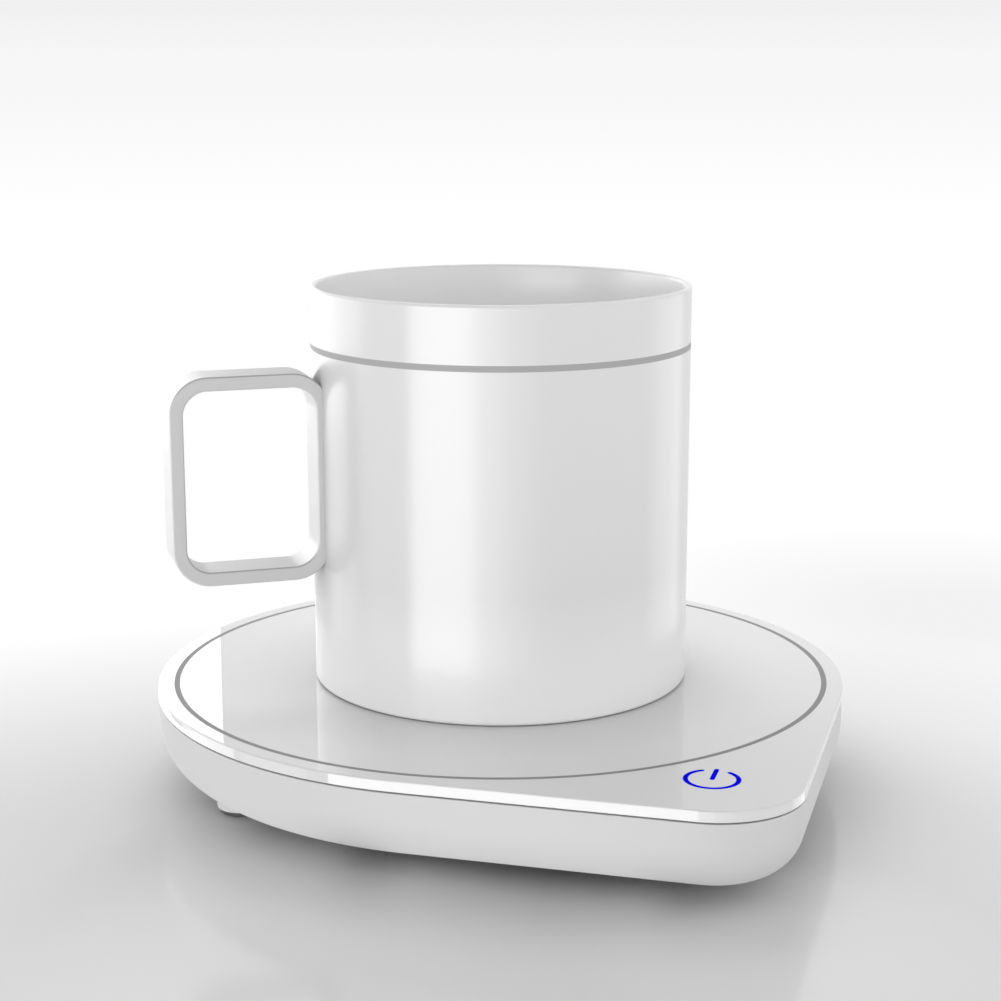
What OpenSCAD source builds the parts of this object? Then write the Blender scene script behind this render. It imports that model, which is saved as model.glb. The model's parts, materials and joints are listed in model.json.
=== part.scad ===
// Electric mug warmer: a low base with a glass top, a heated disc under the glass,
// and the mug that stands on the glass.
// The origin is the centre of the printed ring, on the table. +X runs along the
// straight front edge towards the square corner, +Y points to the back, +Z is up.

/* [Base] */
// Radius of the round outline, at the glass edge
base_r = 70; // [64:0.5:78]
// Radius of the one square corner, seen from above
corner_r = 16.7; // [13:0.1:24]
// Height of the glass top above the table
base_h = 20; // [19:0.5:26]
// Height of the housing's underside above the table
ground_gap = 3.6; // [2.8:0.1:5]
// Radius of the round along the housing's lower edge
belly_r = 9; // [6:0.25:10]
// How far the housing stands in from the glass edge
housing_inset = 0.1; // [0:0.05:0.5]
// Thickness of the housing's wall and floor
wall = 2; // [1.6:0.1:2.4]
// Thickness of the glass
glass_t = 2.2; // [1.8:0.1:3]
// Round on the edges of the glass
glass_edge_r = 0.3; // [0.1:0.05:0.6]
// Height of the dark seam between glass and housing
seam_h = 0.3; // [0.2:0.05:0.6]
// How far the seam stands in from the glass edge
seam_inset = 0.5; // [0.3:0.05:1]

/* [Marks on the glass] */
// Distance from the glass edge to the middle of the printed ring
ring_inset = 3.75; // [3:0.25:18]
// Width of the printed ring
ring_w = 1.1; // [0.6:0.1:2]
// Depth of the printed marks
mark_depth = 0.2; // [0.1:0.05:0.4]
// Distance of the power mark from the right edge of the glass
icon_from_side = 16.5; // [15:0.1:19]
// Distance of the power mark from the front edge of the glass
icon_from_front = 15.8; // [15:0.1:19]
// Outer radius of the power mark
icon_r = 5.15; // [4:0.05:5.4]
// Line width of the power mark
icon_line = 0.92; // [0.5:0.02:1.4]
// Opening of the power mark's circle, in degrees
icon_open = 53; // [40:1:80]
// Distance of the power mark's bar end from the mark's centre
icon_bar_end = 5.45; // [5:0.05:6]

/* [Feet] */
// Distance of each foot from the round edge of the glass
foot_inset = 12; // [10:0.5:16]
// Radius of the boss above each rubber pad
foot_boss_r = 4.9; // [4.6:0.1:6]
// Radius of the rubber pad
foot_r = 4.4; // [4:0.1:4.5]
// Visible height of the rubber pad
foot_show = 1; // [0.6:0.1:1.4]
// Depth of the pad's recess in the boss
foot_sunk = 0.6; // [0.4:0.1:0.8]

/* [Heater] */
// Distance of the aluminium heat spreader from the round edge of the glass
spreader_inset = 30; // [29:0.5:32]
// Thickness of the heat spreader
spreader_t = 1.5; // [1:0.1:1.8]
// Thickness of the heater film
film_t = 0.3; // [0.2:0.05:0.4]
// Height of the etched track on the film
track_t = 0.15; // [0.1:0.05:0.2]
// Width of the etched track
track_w = 1.6; // [1:0.1:2]
// Distance from one turn of the track to the next
track_pitch = 4; // [3.5:0.1:4.3]
// Thickness of the insulation pad
insulation_t = 2.95; // [2.8:0.05:3.3]
// Thickness of the pressure plate
press_t = 0.8; // [0.6:0.1:1]

/* [Electronics] */
// Width of the main board along X
board_w = 52; // [50:0.5:54]
// Depth of the main board along Y
board_d = 36; // [34:0.5:37]
// Thickness of the main board
board_t = 1.6; // [1.4:0.1:1.6]
// Height of the board's standoffs above the floor
standoff_h = 2; // [1.8:0.1:2.2]
// Inner radius of the power inlet's socket
inlet_r = 3.05; // [2.9:0.05:3.2]
// Radius of the power inlet's collar
inlet_collar_r = 3.9; // [3.7:0.05:4]

/* [Mug] */
// Outer radius of the mug
mug_r = 38; // [35:0.5:42]
// Height of the mug
mug_h = 80; // [74:1:95]
// Thickness of the mug's wall
mug_wall = 2.6; // [2:0.1:4]
// Thickness of the mug's bottom
mug_bottom = 4; // [3:0.1:6]
// Thickness of the drinking lip
lip_t = 1.3; // [1:0.1:1.8]
// Height of the inlaid band's lower edge above the mug's bottom
band_z = 67.7; // [50:0.5:69]
// Height of the inlaid band
band_h = 1.2; // [0.6:0.1:3]
// Distance from the mug's axis to the outside of the handle
handle_reach = 67.5; // [62:0.5:76]
// Height of the handle
handle_h = 41; // [36:0.5:48]
// Height of the handle's lower edge above the mug's bottom
handle_z = 23.4; // [18:0.5:25]
// Thickness of the handle's bar
handle_bar = 2.75; // [2:0.05:4]
// Depth of the handle's bar, across the handle
handle_deep = 9.3; // [6:0.1:14]
// Outer corner radius of the handle
handle_corner_r = 7.5; // [5:0.1:10]
// Direction of the handle, in degrees from +X
handle_turn = 213; // [180:1:240]

/* [Hidden] */
$fn = 96;

// One overrun serves all cuts, and one running gap all loose fits
over = 1;
gap = 0.1;

// Places that follow the size of the base
ring_r = base_r - ring_inset;
icon_x = base_r - icon_from_side;
icon_y = base_r - icon_from_front;
foot_place = (base_r - foot_inset) * cos(45);
spreader_r = base_r - spreader_inset;

// Heights of the stack, from the glass down
glass_z = base_h - glass_t;
seam_z = glass_z - seam_h;
frame_t = 2;
frame_z = seam_z - frame_t;
spreader_z = glass_z - spreader_t;
film_z = spreader_z - film_t;
track_z = film_z - track_t;
insulation_z = track_z - insulation_t;
press_z = insulation_z - press_t;

// Heights of what stands on the floor
floor_z = ground_gap + wall;
board_z = floor_z + standoff_h;
board_top = board_z + board_t;

// Top frame
frame_gap = 0.2;
frame_hole_gap = 2;
frame_hole_r = spreader_r + frame_hole_gap;
ledge_w = 1.4;
ledge_t = 2;
frame_ring_t = 1.6;
frame_ring_h = 2.1;
rib_t = 1.2;
rib_h = 1.6;
rib_count = 8;
rib_end_inset = 7;
gasket_w = 5;

// Housing screws, up through the feet into the frame
screw_r = 1.45;
screw_l = 9;
head_r = 2.6;
head_h = 1.8;
drive_r = 1.1;
drive_depth = 0.9;
head_room = 0.3;
boss_r = 4.5;
boss_h = 3.9;
frame_boss_r = 4;
boss_cap = 0.5;
foot_sit = ground_gap + wall / 2;
head_seat = floor_z - wall / 2;

// Small screws of the heater clamp, the main board and the touch board
small_r = 0.95;
small_head_r = 1.8;
small_head_h = 1.1;
small_drive_r = 0.7;
small_drive_depth = 0.5;
small_l = 2.6;
post_r = 2.6;
post_place = frame_hole_r + frame_ring_t / 2 + post_r;

// Heater
film_margin = 2;
film_r = spreader_r - film_margin;
track_start_r = 6;
track_turns = floor((film_r - track_start_r) / track_pitch);
track_end_r = track_start_r + (track_turns - 1) * track_pitch;
track_gap = 3;
track_sink = 0.2;
terminal_w = 4;
terminal_d = 1.9;
insulation_margin = 1.5;
insulation_r = spreader_r - insulation_margin;
press_lip_t = 0.8;
press_lip_h = 1.2;
press_bead_r = 15;
press_bead_w = 1.6;
press_bead_h = 0.6;
arm_w = 6;
lead_hole_w = 12;
lead_hole_d = 4;
lead_hole_y = track_end_r - track_w / 2 - terminal_d / 2;
sensor_hole_r = 2.4;
sensor_r = 1.1;
sensor_h = 2.4;
fuse_r = 1.4;
fuse_l = 9;
fuse_wire_r = 0.4;
fuse_wire_l = 5;
fuse_y = 16;
fuse_slot_gap = 0.3;

// Main board, with the places of its parts as shares of its half width and depth
board_from_back = 12;
board_y = base_r - board_from_back - board_d / 2;
board_inset = 3.2;
board_hole_r = 1.2;
standoff_r = 2.4;
notch_w = 9.6;
notch_d = 8.5;
mcu_share = [0.35, -0.38];
transistor_share = [-0.64, -0.22];
regulator_share = [0.72, -0.2];
choke_share = [-0.5, -0.72];
capacitor_share = [0.67, 0.53];
heater_plug_share = [-0.5, 0.44];
sensor_plug_share = [0.37, 0.39];
touch_plug_share = [0, -0.82];

// Board parts
mcu_size = [10, 4, 1.4];
mcu_legs = 8;
leg_w = 0.4;
leg_t = 0.2;
leg_out = 1;
transistor_size = [6.6, 6.1, 2.2];
transistor_tab = [5.4, 1.4, 0.5];
regulator_size = [6.5, 3.5, 1.6];
choke_size = [6, 6, 2.4];
choke_bevel = 1.4;
capacitor_r = 3.15;
capacitor_h = 4.4;
capacitor_base = [6.6, 6.6, 0.8];
heater_plug = [8, 5.6, 5];
sensor_plug = [5, 4.4, 4.2];
touch_plug = [7.5, 4, 2.5];
plug_wall = 0.8;
plug_open_h = 0.7;

// Power inlet
inlet_w = 9;
inlet_lift = 1.5;
inlet_set_back = 3.1;
inlet_recess = 1.3;
inlet_low = floor_z + inlet_lift;
inlet_z = inlet_low + inlet_collar_r + gap;
inlet_high = inlet_z + inlet_collar_r + gap;
inlet_front = board_y + board_d / 2 - notch_d + 4 * gap;
inlet_face = base_r - housing_inset - wall - inlet_set_back;
inlet_end = base_r - housing_inset - inlet_recess;
inlet_depth = 9.5;
inlet_pin_r = 1;
inlet_pin_tip = 1.5;
inlet_ear = [2, 6, 0.6];
inlet_hole_r = inlet_collar_r + gap;

// Touch key under the power mark
touch_drop = 3.5;
touch_board_t = 1;
touch_board_r = 10.5;
tail_w = 12;
tail_l = 21;
touch_top = frame_z - touch_drop;
window_r = 7;
spring_r = 6.3;
spring_wire = 0.25;
spring_turns = 5;
guide_r = 5.4;
guide_pocket_r = 3.6;
guide_pocket_h = 1.6;
touch_post_r = 1.7;
touch_post_place = window_r + touch_post_r + gap;
led_size = [3.2, 2.8, 0.9];
led_lens_r = 1.1;
led_lens_h = 0.3;

// Mug
mug_seat = 0.05;
mug_foot_r = 0.8;
mug_foot_w = 3;
mug_recess = 0.6;
mug_fillet = 7;
lip_taper_h = 9;
band_depth = 0.4;
handle_in = 1.85;
arc_steps = 12;
mark_steps = 48;
mark_end_steps = 4;
mark_end_turn = 30;

// Leads and cable
heater_wire_r = 0.7;
heater_pitch = 2.4;
heater_level = 2.4;
sensor_wire_r = 0.35;
sensor_pitch = 1.8;
sensor_level = 2.2;
sensor_feet = 1;
lead_rise = 1.5;
lead_clear = 0.35;
cable_w = 3.4;
cable_t = 0.8;
cable_level = 1.2;
cable_lift = 0.4;
cable_rise = 1;
header_x = icon_x - tail_l + tail_w / 3;
header_z = touch_top - touch_board_t - touch_plug[2] / 2;

// Where the front of a plug stands on the main board
function plug_front(share, s) =
    [share[0] * board_w / 2, board_y + share[1] * board_d / 2 - s[1] / 2 - 3 * gap];

// A route from a to b: each row gives a share of the way in X, one in Y, and a height
function route(a, b, rows) =
    [for (q = rows) [a[0] + (b[0] - a[0]) * q[0], a[1] + (b[1] - a[1]) * q[1], q[2]]];

// From the track's terminal down through the hole, and over the board to the plug
function heater_route(side) =
    let (a = [side * (track_gap + terminal_w) / 2, lead_hole_y],
        b = plug_front(heater_plug_share, heater_plug) + [side * heater_pitch / 2, 0],
        low = board_top + lead_rise, level = board_top + heater_level)
    route(a, b, [[0, 0, track_z - gap], [0, 0, press_z + press_t], [0.06, 0.14, (low + level) / 2],
        [0.33, 0.51, low], [0.67, 0.72, low + lead_clear], [1, 0.91, level], [1, 1, level]]);

// From the sensor under the bead of the pressure plate to the plug
function sensor_route(side) =
    let (a = [side * sensor_feet / 2, 0],
        b = plug_front(sensor_plug_share, sensor_plug) + [side * sensor_pitch / 2, 0],
        over_parts = press_z - sensor_wire_r - lead_clear, under_bead = over_parts - press_bead_h,
        level = board_top + sensor_level)
    route(a, b, [[0, 0, track_z - sensor_h - gap], [0.01, 0.018, press_z - lead_clear],
        [0.31, 0.22, under_bead], [0.64, 0.45, under_bead], [0.8, 0.67, over_parts],
        [0.94, 0.85, level], [1, 1, level]]);

// From the main board's plug down to the floor, and up to the touch board's plug
function cable_route() =
    let (a = plug_front(touch_plug_share, touch_plug), low = floor_z + cable_rise,
        b = [header_x, -icon_y + touch_plug[1] / 2 + 3 * gap])
    route(a, b, [[0, 0, board_top + cable_level], [0, 0.043, board_top + cable_lift],
        [0.054, 0.12, low + cable_lift], [0.216, 0.28, low], [0.46, 0.47, low], [0.7, 0.68, low],
        [0.92, 0.87, low + cable_t], [1, 0.96, header_z - gap], [1, 1, header_z]]);

// Points on an arc about c with radius r, from angle a to angle b
function arc(c, r, a, b, n = arc_steps) =
    [for (i = [0 : n]) let (t = a + (b - a) * i / n) [c[0] + r * cos(t), c[1] + r * sin(t)]];

// Point at a share t of the smooth curve through p1 and p2
function spline(p0, p1, p2, p3, t) =
    0.5 * (2 * p1 + (p2 - p0) * t + (2 * p0 - 5 * p1 + 4 * p2 - p3) * t * t
        + (3 * p1 - p0 - 3 * p2 + p3) * t * t * t);

// A smooth route through all points of p, in n steps from point to point
function smooth(p, n) = concat(
    [for (i = [0 : len(p) - 2], j = [0 : n - 1])
        spline(p[max(i - 1, 0)], p[i], p[i + 1], p[min(i + 2, len(p) - 1)], j / n)],
    [p[len(p) - 1]]);

function unit(v) = v / norm(v);
function heading(p, i) = unit(p[min(i + 1, len(p) - 1)] - p[max(i - 1, 0)]);
function level(d) = let (s = cross([0, 0, 1], d)) norm(s) < 0.01 ? [1, 0, 0] : unit(s);

// A tube along p: each ring is the flat outline shape, set square to the route
module swept(p, shape) {
    m = len(shape);
    n = len(p);
    rings = [for (i = [0 : n - 1]) let (d = heading(p, i), s = level(d), u = cross(d, s))
        for (q = shape) p[i] + s * q[0] + u * q[1]];
    sides = [for (i = [0 : n - 2], j = [0 : m - 1]) let (k = (j + 1) % m)
        each [[i * m + j, (i + 1) * m + j, i * m + k], [i * m + k, (i + 1) * m + j, (i + 1) * m + k]]];
    polyhedron(rings, concat([[for (j = [0 : m - 1]) j]], sides,
        [[for (j = [m - 1 : -1 : 0]) (n - 1) * m + j]]));
}

function round_wire(r, n = 8) = [for (i = [0 : n - 1]) r * [cos(360 * i / n), sin(360 * i / n)]];
function flat_wire(w, t, n = 4) = concat(
    [for (i = [0 : n]) let (a = 90 - 180 * i / n) [w / 2 - t / 2 + t / 2 * cos(a), t / 2 * sin(a)]],
    [for (i = [0 : n]) let (a = 270 - 180 * i / n) [t / 2 - w / 2 + t / 2 * cos(a), t / 2 * sin(a)]]);

// A quarter of a disc, in the +X half, below or above the X axis
module quarter(r, up) {
    intersection() {
        circle(r);
        translate([0, up ? 0 : -2 * r]) square([2 * r, 2 * r]);
    }
}

// Half section of a plate: radius r, height h, outer edges rounded below and above
module section(r, h, low, high) {
    side = max(low, high);
    square([r - side, h]);
    if (side > 0) translate([r - side, low]) square([side, h - low - high]);
    if (low > 0) {
        if (low < side) translate([r - side, 0]) square([side - low, low]);
        translate([r - low, low]) quarter(low, false);
    }
    if (high > 0) {
        if (high < side) translate([r - side, h - high]) square([side - high, high]);
        translate([r - high, h - high]) quarter(high, true);
    }
}

// A plate in the outline of the base: three quarters of a disc, and the square
// corner at +X and -Y with its own radius, all standing in by inset
module outline_plate(inset, h, low = 0, high = 0) {
    r = base_r - inset;
    c = corner_r - inset;
    s = r - c;
    rotate_extrude(angle = 270) section(r, h, low, high);
    translate([s, -s]) rotate_extrude(angle = 90, start = 270) section(c, h, low, high);
    translate([s, -s]) rotate([90, 0, -90]) linear_extrude(s) section(c, h, low, high);
    translate([s, 0]) rotate([90, 0, 0]) linear_extrude(s) section(c, h, low, high);
    translate([0, -s]) cube([s, s, h]);
}

// Places a child at each foot
module at_feet() {
    for (x = [-1, 1], y = [-1, 1]) translate([x * foot_place, y * foot_place]) children();
}

// Places a child at each clamp post of the heater
module at_posts() {
    for (i = [0 : 3]) rotate(45 + 90 * i) translate([post_place, 0]) children();
}

// Places a child at each mounting hole of the main board
module at_board_holes() {
    for (x = [-1, 1], y = [-1, 1])
        translate([x * (board_w / 2 - board_inset), board_y + y * (board_d / 2 - board_inset)]) children();
}

// Places a child on the main board, at a share of its half width and half depth
module on_board(share) {
    translate([share[0] * board_w / 2, board_y + share[1] * board_d / 2, board_top]) children();
}

// Places a child at each post of the touch board
module at_touch_posts() {
    for (a = [90, 0]) translate([icon_x, -icon_y]) rotate(a) translate([touch_post_place, 0]) children();
}

// A pan head screw that points up from z = 0, with its head below
module screw_up(r, l, hr, hh, dr, dd) {
    cylinder(r = r, h = l);
    difference() {
        translate([0, 0, -hh]) cylinder(r = hr, h = hh);
        translate([0, 0, -hh - over]) cylinder(r = dr, h = dd + over, $fn = 6);
    }
}

module small_screw_up(l) {
    screw_up(small_r, l, small_head_r, small_head_h, small_drive_r, small_drive_depth);
}

// The power mark as two outlines with round line ends: an open circle and a bar
module power_mark(depth) {
    end = icon_line / 2;
    mid = icon_r - end;
    from_bar = icon_open / 2 + asin(end / mid);
    a = 90 + from_bar;
    b = 450 - from_bar;
    turn = mark_end_turn;
    linear_extrude(depth) {
        polygon(concat(
            arc([0, 0], icon_r, a, b, mark_steps),
            arc([mid * cos(b), mid * sin(b)], end, b + turn, b + 180 - turn, mark_end_steps),
            arc([0, 0], mid - end, b, a, mark_steps),
            arc([mid * cos(a), mid * sin(a)], end, a + 180 + turn, a + 360 - turn, mark_end_steps)));
        polygon(concat(arc([0, icon_bar_end - end], end, 0, 180, mark_end_steps),
            arc([0, 0], end, 180, 360, mark_end_steps)));
    }
}

module ring_mark(depth) {
    rotate_extrude() translate([ring_r - ring_w / 2, 0]) square([ring_w, depth]);
}

module glass_top() {
    color("#e6e6e6") difference() {
        translate([0, 0, glass_z]) outline_plate(0, glass_t, glass_edge_r, glass_edge_r);
        translate([0, 0, base_h - mark_depth]) {
            ring_mark(mark_depth + over);
            translate([icon_x, -icon_y]) power_mark(mark_depth + over);
        }
    }
}

module ring_inlay() {
    color("#989898") translate([0, 0, base_h - mark_depth]) ring_mark(mark_depth);
}

module power_icon() {
    color("#0a0ae1") translate([icon_x, -icon_y, base_h - mark_depth]) power_mark(mark_depth);
}

module panel_gasket() {
    color("#4a4a4a") translate([0, 0, seam_z]) difference() {
        outline_plate(seam_inset, seam_h);
        translate([0, 0, -over]) outline_plate(seam_inset + gasket_w, seam_h + 2 * over);
    }
}

module top_frame() {
    boss_low = floor_z + boss_h;
    color("#d8d8d8") difference() {
        union() {
            translate([0, 0, frame_z]) outline_plate(housing_inset + wall + frame_gap, frame_t);
            translate([0, 0, frame_z - frame_ring_h])
                cylinder(r = frame_hole_r + frame_ring_t, h = frame_ring_h);
            for (i = [0 : rib_count - 1]) rotate((i + 0.5) * 360 / rib_count)
                translate([frame_hole_r + frame_ring_t / 2, -rib_t / 2, frame_z - rib_h])
                    cube([base_r - rib_end_inset - frame_hole_r - frame_ring_t / 2, rib_t, rib_h]);
            at_feet() translate([0, 0, boss_low]) cylinder(r = frame_boss_r, h = frame_z - boss_low);
            at_posts() translate([0, 0, insulation_z]) cylinder(r = post_r, h = frame_z - insulation_z);
            at_touch_posts() translate([0, 0, touch_top]) cylinder(r = touch_post_r, h = touch_drop);
        }
        translate([0, 0, frame_z - frame_ring_h - over])
            cylinder(r = frame_hole_r, h = frame_t + frame_ring_h + 2 * over);
        at_feet() translate([0, 0, boss_low - over])
            cylinder(r = screw_r + gap / 2, h = frame_z - boss_low - boss_cap + over);
        at_posts() translate([0, 0, insulation_z - over]) cylinder(r = small_r + gap / 2, h = small_l + over);
        at_touch_posts() translate([0, 0, touch_top - over])
            cylinder(r = small_r + gap / 2, h = small_l + over);
        translate([icon_x, -icon_y, frame_z - over]) cylinder(r = window_r, h = frame_t + 2 * over);
    }
}

module lower_housing() {
    h = seam_z - ground_gap;
    inset = housing_inset + wall;
    ledge_z = frame_z - ledge_t;
    color("#ececec") difference() {
        union() {
            difference() {
                translate([0, 0, ground_gap]) outline_plate(housing_inset, h, belly_r);
                translate([0, 0, floor_z]) outline_plate(inset, ledge_z - floor_z, belly_r - wall);
                translate([0, 0, ledge_z - over]) outline_plate(inset + ledge_w, ledge_t + 2 * over);
                translate([0, 0, frame_z]) outline_plate(inset, frame_t + over);
            }
            at_feet() translate([0, 0, foot_show]) cylinder(r = foot_boss_r, h = foot_sit - foot_show);
            at_feet() translate([0, 0, floor_z - wall / 2]) cylinder(r = boss_r, h = boss_h + wall / 2);
            at_board_holes() translate([0, 0, floor_z - wall / 2])
                cylinder(r = standoff_r, h = standoff_h + wall / 2);
        }
        at_feet() {
            translate([0, 0, foot_show - over]) cylinder(r = foot_r + gap / 2, h = foot_sunk + over);
            translate([0, 0, foot_show]) cylinder(r = head_r + head_room, h = head_seat - foot_show);
            translate([0, 0, foot_show]) cylinder(r = screw_r + gap, h = floor_z + boss_h);
        }
        at_board_holes() translate([0, 0, board_z - small_l])
            cylinder(r = small_r + gap / 2, h = small_l + over);
        translate([0, inlet_face - inlet_depth, inlet_z]) rotate([-90, 0, 0])
            cylinder(r = inlet_hole_r, h = base_r);
        translate([-inlet_w / 2 - gap, inlet_front, inlet_low - gap])
            cube([inlet_w + 2 * gap, inlet_face + gap - inlet_front, frame_z - inlet_low + gap]);
    }
}

module rubber_feet() {
    color("#4b4b4b") at_feet() cylinder(r = foot_r, h = foot_show + foot_sunk);
}

module housing_screws() {
    color("#9a9a9a") at_feet() translate([0, 0, head_seat])
        screw_up(screw_r, screw_l, head_r, head_h, drive_r, drive_depth);
}

module heat_spreader() {
    color("#c9ccd0") translate([0, 0, spreader_z]) cylinder(r = spreader_r, h = spreader_t);
}

module heater_film() {
    color("#c8862c") translate([0, 0, film_z]) cylinder(r = film_r, h = film_t);
}

// Side of the film on which ring i of the track joins the ring outside it: the
// sides alternate, so that the outermost ring stays open towards its terminals
function track_link_side(i) = (track_turns - i) % 2 == 0 ? 180 : 0;

// Rings parted by one gap across the film, joined in a zigzag from ring to ring,
// from one terminal to the innermost ring and back to the other terminal
module heating_track() {
    color("#a9a39a") translate([0, 0, track_z]) {
        difference() {
            for (i = [0 : track_turns - 1]) let (r = track_start_r + i * track_pitch)
                rotate_extrude() translate([r - track_w / 2, 0]) square([track_w, track_t]);
            translate([-track_gap / 2, -film_r, -over]) cube([track_gap, 2 * film_r, track_t + 2 * over]);
        }
        for (i = [0 : track_turns - 2]) rotate(track_link_side(i))
            for (x = [track_gap / 2, -track_gap / 2 - track_w])
                translate([x, track_start_r + i * track_pitch - track_sink])
                    cube([track_w, track_pitch, track_t]);
        rotate(track_link_side(-1)) translate([-track_gap / 2 - track_w, track_start_r - track_w / 2])
            cube([track_gap + 2 * track_w, track_w, track_t]);
        for (x = [track_gap / 2, -track_gap / 2 - terminal_w])
            translate([x, track_end_r - track_w / 2 - terminal_d])
                cube([terminal_w, terminal_d + track_w / 2, track_t]);
    }
}

module insulation_pad() {
    slot_l = fuse_l + 2 * fuse_wire_l + 2 * gap;
    slot_w = 2 * (fuse_r + fuse_slot_gap);
    color("#f1eee4") translate([0, 0, insulation_z]) difference() {
        cylinder(r = insulation_r, h = insulation_t);
        translate([0, 0, -over]) {
            cylinder(r = sensor_hole_r, h = insulation_t + 2 * over);
            translate([-lead_hole_w / 2, lead_hole_y - lead_hole_d / 2])
                cube([lead_hole_w, lead_hole_d, insulation_t + 2 * over]);
            translate([-slot_l / 2, -fuse_y - slot_w / 2]) cube([slot_l, slot_w, insulation_t + 2 * over]);
        }
    }
}

// A shallow pressed pan with a raised bead and four arms
module pressure_plate() {
    color("#b9bcbf") difference() {
        union() {
            translate([0, 0, press_z]) cylinder(r = spreader_r, h = press_t);
            translate([0, 0, press_z]) difference() {
                cylinder(r = spreader_r, h = press_t + press_lip_h);
                cylinder(r = spreader_r - press_lip_t, h = press_t + press_lip_h + over);
            }
            translate([0, 0, press_z - press_bead_h]) difference() {
                cylinder(r = press_bead_r + press_bead_w / 2, h = press_bead_h);
                translate([0, 0, -over])
                    cylinder(r = press_bead_r - press_bead_w / 2, h = press_bead_h + over);
            }
            at_posts() translate([0, 0, press_z]) cylinder(r = arm_w / 2, h = press_t);
            for (i = [0 : 3]) rotate(45 + 90 * i) translate([spreader_r / 2, -arm_w / 2, press_z])
                cube([post_place - spreader_r / 2, arm_w, press_t]);
        }
        translate([0, 0, press_z - over]) {
            cylinder(r = sensor_hole_r, h = press_t + 2 * over);
            translate([-lead_hole_w / 2, lead_hole_y - lead_hole_d / 2])
                cube([lead_hole_w, lead_hole_d, press_t + 2 * over]);
            at_posts() cylinder(r = small_r + gap, h = press_t + 2 * over);
        }
    }
}

module clamp_screws() {
    color("#9a9a9a") at_posts() translate([0, 0, press_z]) small_screw_up(press_t + small_l - gap);
}

module temperature_sensor() {
    color("#4d5a3c") translate([0, 0, track_z - sensor_h]) {
        cylinder(r = sensor_r, h = sensor_h);
    }
}

module thermal_fuse() {
    color("#d7d2c6") translate([0, -fuse_y, track_z - fuse_r - gap]) rotate([0, 90, 0]) {
        translate([0, 0, -fuse_l / 2]) cylinder(r = fuse_r, h = fuse_l);
        translate([0, 0, -fuse_l / 2 - fuse_wire_l]) cylinder(r = fuse_wire_r, h = fuse_l + 2 * fuse_wire_l);
    }
}

module main_board() {
    color("#2f6b43") translate([0, 0, board_z]) difference() {
        translate([-board_w / 2, board_y - board_d / 2]) cube([board_w, board_d, board_t]);
        translate([-notch_w / 2, board_y + board_d / 2 - notch_d, -over])
            cube([notch_w, notch_d + over, board_t + 2 * over]);
        at_board_holes() translate([0, 0, -over]) cylinder(r = board_hole_r, h = board_t + 2 * over);
    }
}

module board_screws() {
    color("#9a9a9a") at_board_holes() translate([0, 0, board_top]) mirror([0, 0, 1])
        small_screw_up(board_t + small_l - 4 * gap);
}

// A small chip with a row of bent legs along each long side
module microcontroller() {
    s = mcu_size;
    pitch = s[0] / mcu_legs;
    on_board(mcu_share) {
        color("#2a2a2a") translate([-s[0] / 2, -s[1] / 2, leg_t]) cube([s[0], s[1], s[2] - leg_t]);
        color("#c4c4c4") for (i = [0 : mcu_legs - 1], side = [-1, 1])
            translate([(i + 0.5) * pitch - s[0] / 2 - leg_w / 2, side > 0 ? s[1] / 2 : -s[1] / 2 - leg_out]) {
                cube([leg_w, leg_out, leg_t]);
                translate([0, side > 0 ? 0 : leg_out - leg_t]) cube([leg_w, leg_t, s[2] / 2]);
            }
    }
}

module power_transistor() {
    s = transistor_size;
    t = transistor_tab;
    on_board(transistor_share) {
        color("#2a2a2a") translate([-s[0] / 2, -s[1] / 2]) cube(s);
        color("#c4c4c4") translate([-t[0] / 2, s[1] / 2]) cube(t);
        color("#c4c4c4") for (side = [-1, 1])
            translate([side * s[0] / 3 - leg_out / 2, -s[1] / 2 - 2 * leg_out])
                cube([leg_out, 2 * leg_out, leg_t]);
    }
}

module voltage_regulator() {
    s = regulator_size;
    on_board(regulator_share) {
        color("#2a2a2a") translate([-s[0] / 2, -s[1] / 2]) cube(s);
        color("#c4c4c4") translate([-s[0] / 4, s[1] / 2]) cube([s[0] / 2, 2 * leg_out, leg_t]);
        color("#c4c4c4") for (i = [-1 : 1])
            translate([i * s[0] / 3 - leg_w, -s[1] / 2 - 2 * leg_out]) cube([2 * leg_w, 2 * leg_out, leg_t]);
    }
}

module filter_choke() {
    s = choke_size;
    b = choke_bevel;
    on_board(choke_share) color("#3c3c3e") linear_extrude(s[2])
        polygon([[-s[0] / 2 + b, -s[1] / 2], [s[0] / 2 - b, -s[1] / 2], [s[0] / 2, -s[1] / 2 + b],
            [s[0] / 2, s[1] / 2 - b], [s[0] / 2 - b, s[1] / 2], [-s[0] / 2 + b, s[1] / 2],
            [-s[0] / 2, s[1] / 2 - b], [-s[0] / 2, -s[1] / 2 + b]]);
}

module filter_capacitor() {
    b = capacitor_base;
    on_board(capacitor_share) {
        color("#2a2a2a") translate([-b[0] / 2, -b[1] / 2]) cube(b);
        color("#b9bcbf") cylinder(r = capacitor_r, h = capacitor_h);
    }
}

// A plug in its header: a box with one open slot along its top
module plug_box(s) {
    difference() {
        translate([-s[0] / 2, -s[1] / 2]) cube(s);
        translate([-s[0] / 2 + plug_wall, -s[1] / 2 + plug_wall, s[2] - plug_open_h])
            cube([s[0] - 2 * plug_wall, s[1] - 2 * plug_wall, plug_open_h + over]);
    }
}

module heater_connector() {
    color("#efe9da") on_board(heater_plug_share) plug_box(heater_plug);
}

module sensor_connector() {
    color("#efe9da") on_board(sensor_plug_share) plug_box(sensor_plug);
}

// One header on the main board, and one under the tail of the touch board
module touch_connectors() {
    color("#efe9da") {
        on_board(touch_plug_share) plug_box(touch_plug);
        translate([header_x, -icon_y, touch_top - touch_board_t]) mirror([0, 0, 1])
            plug_box(touch_plug);
    }
}

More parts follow.
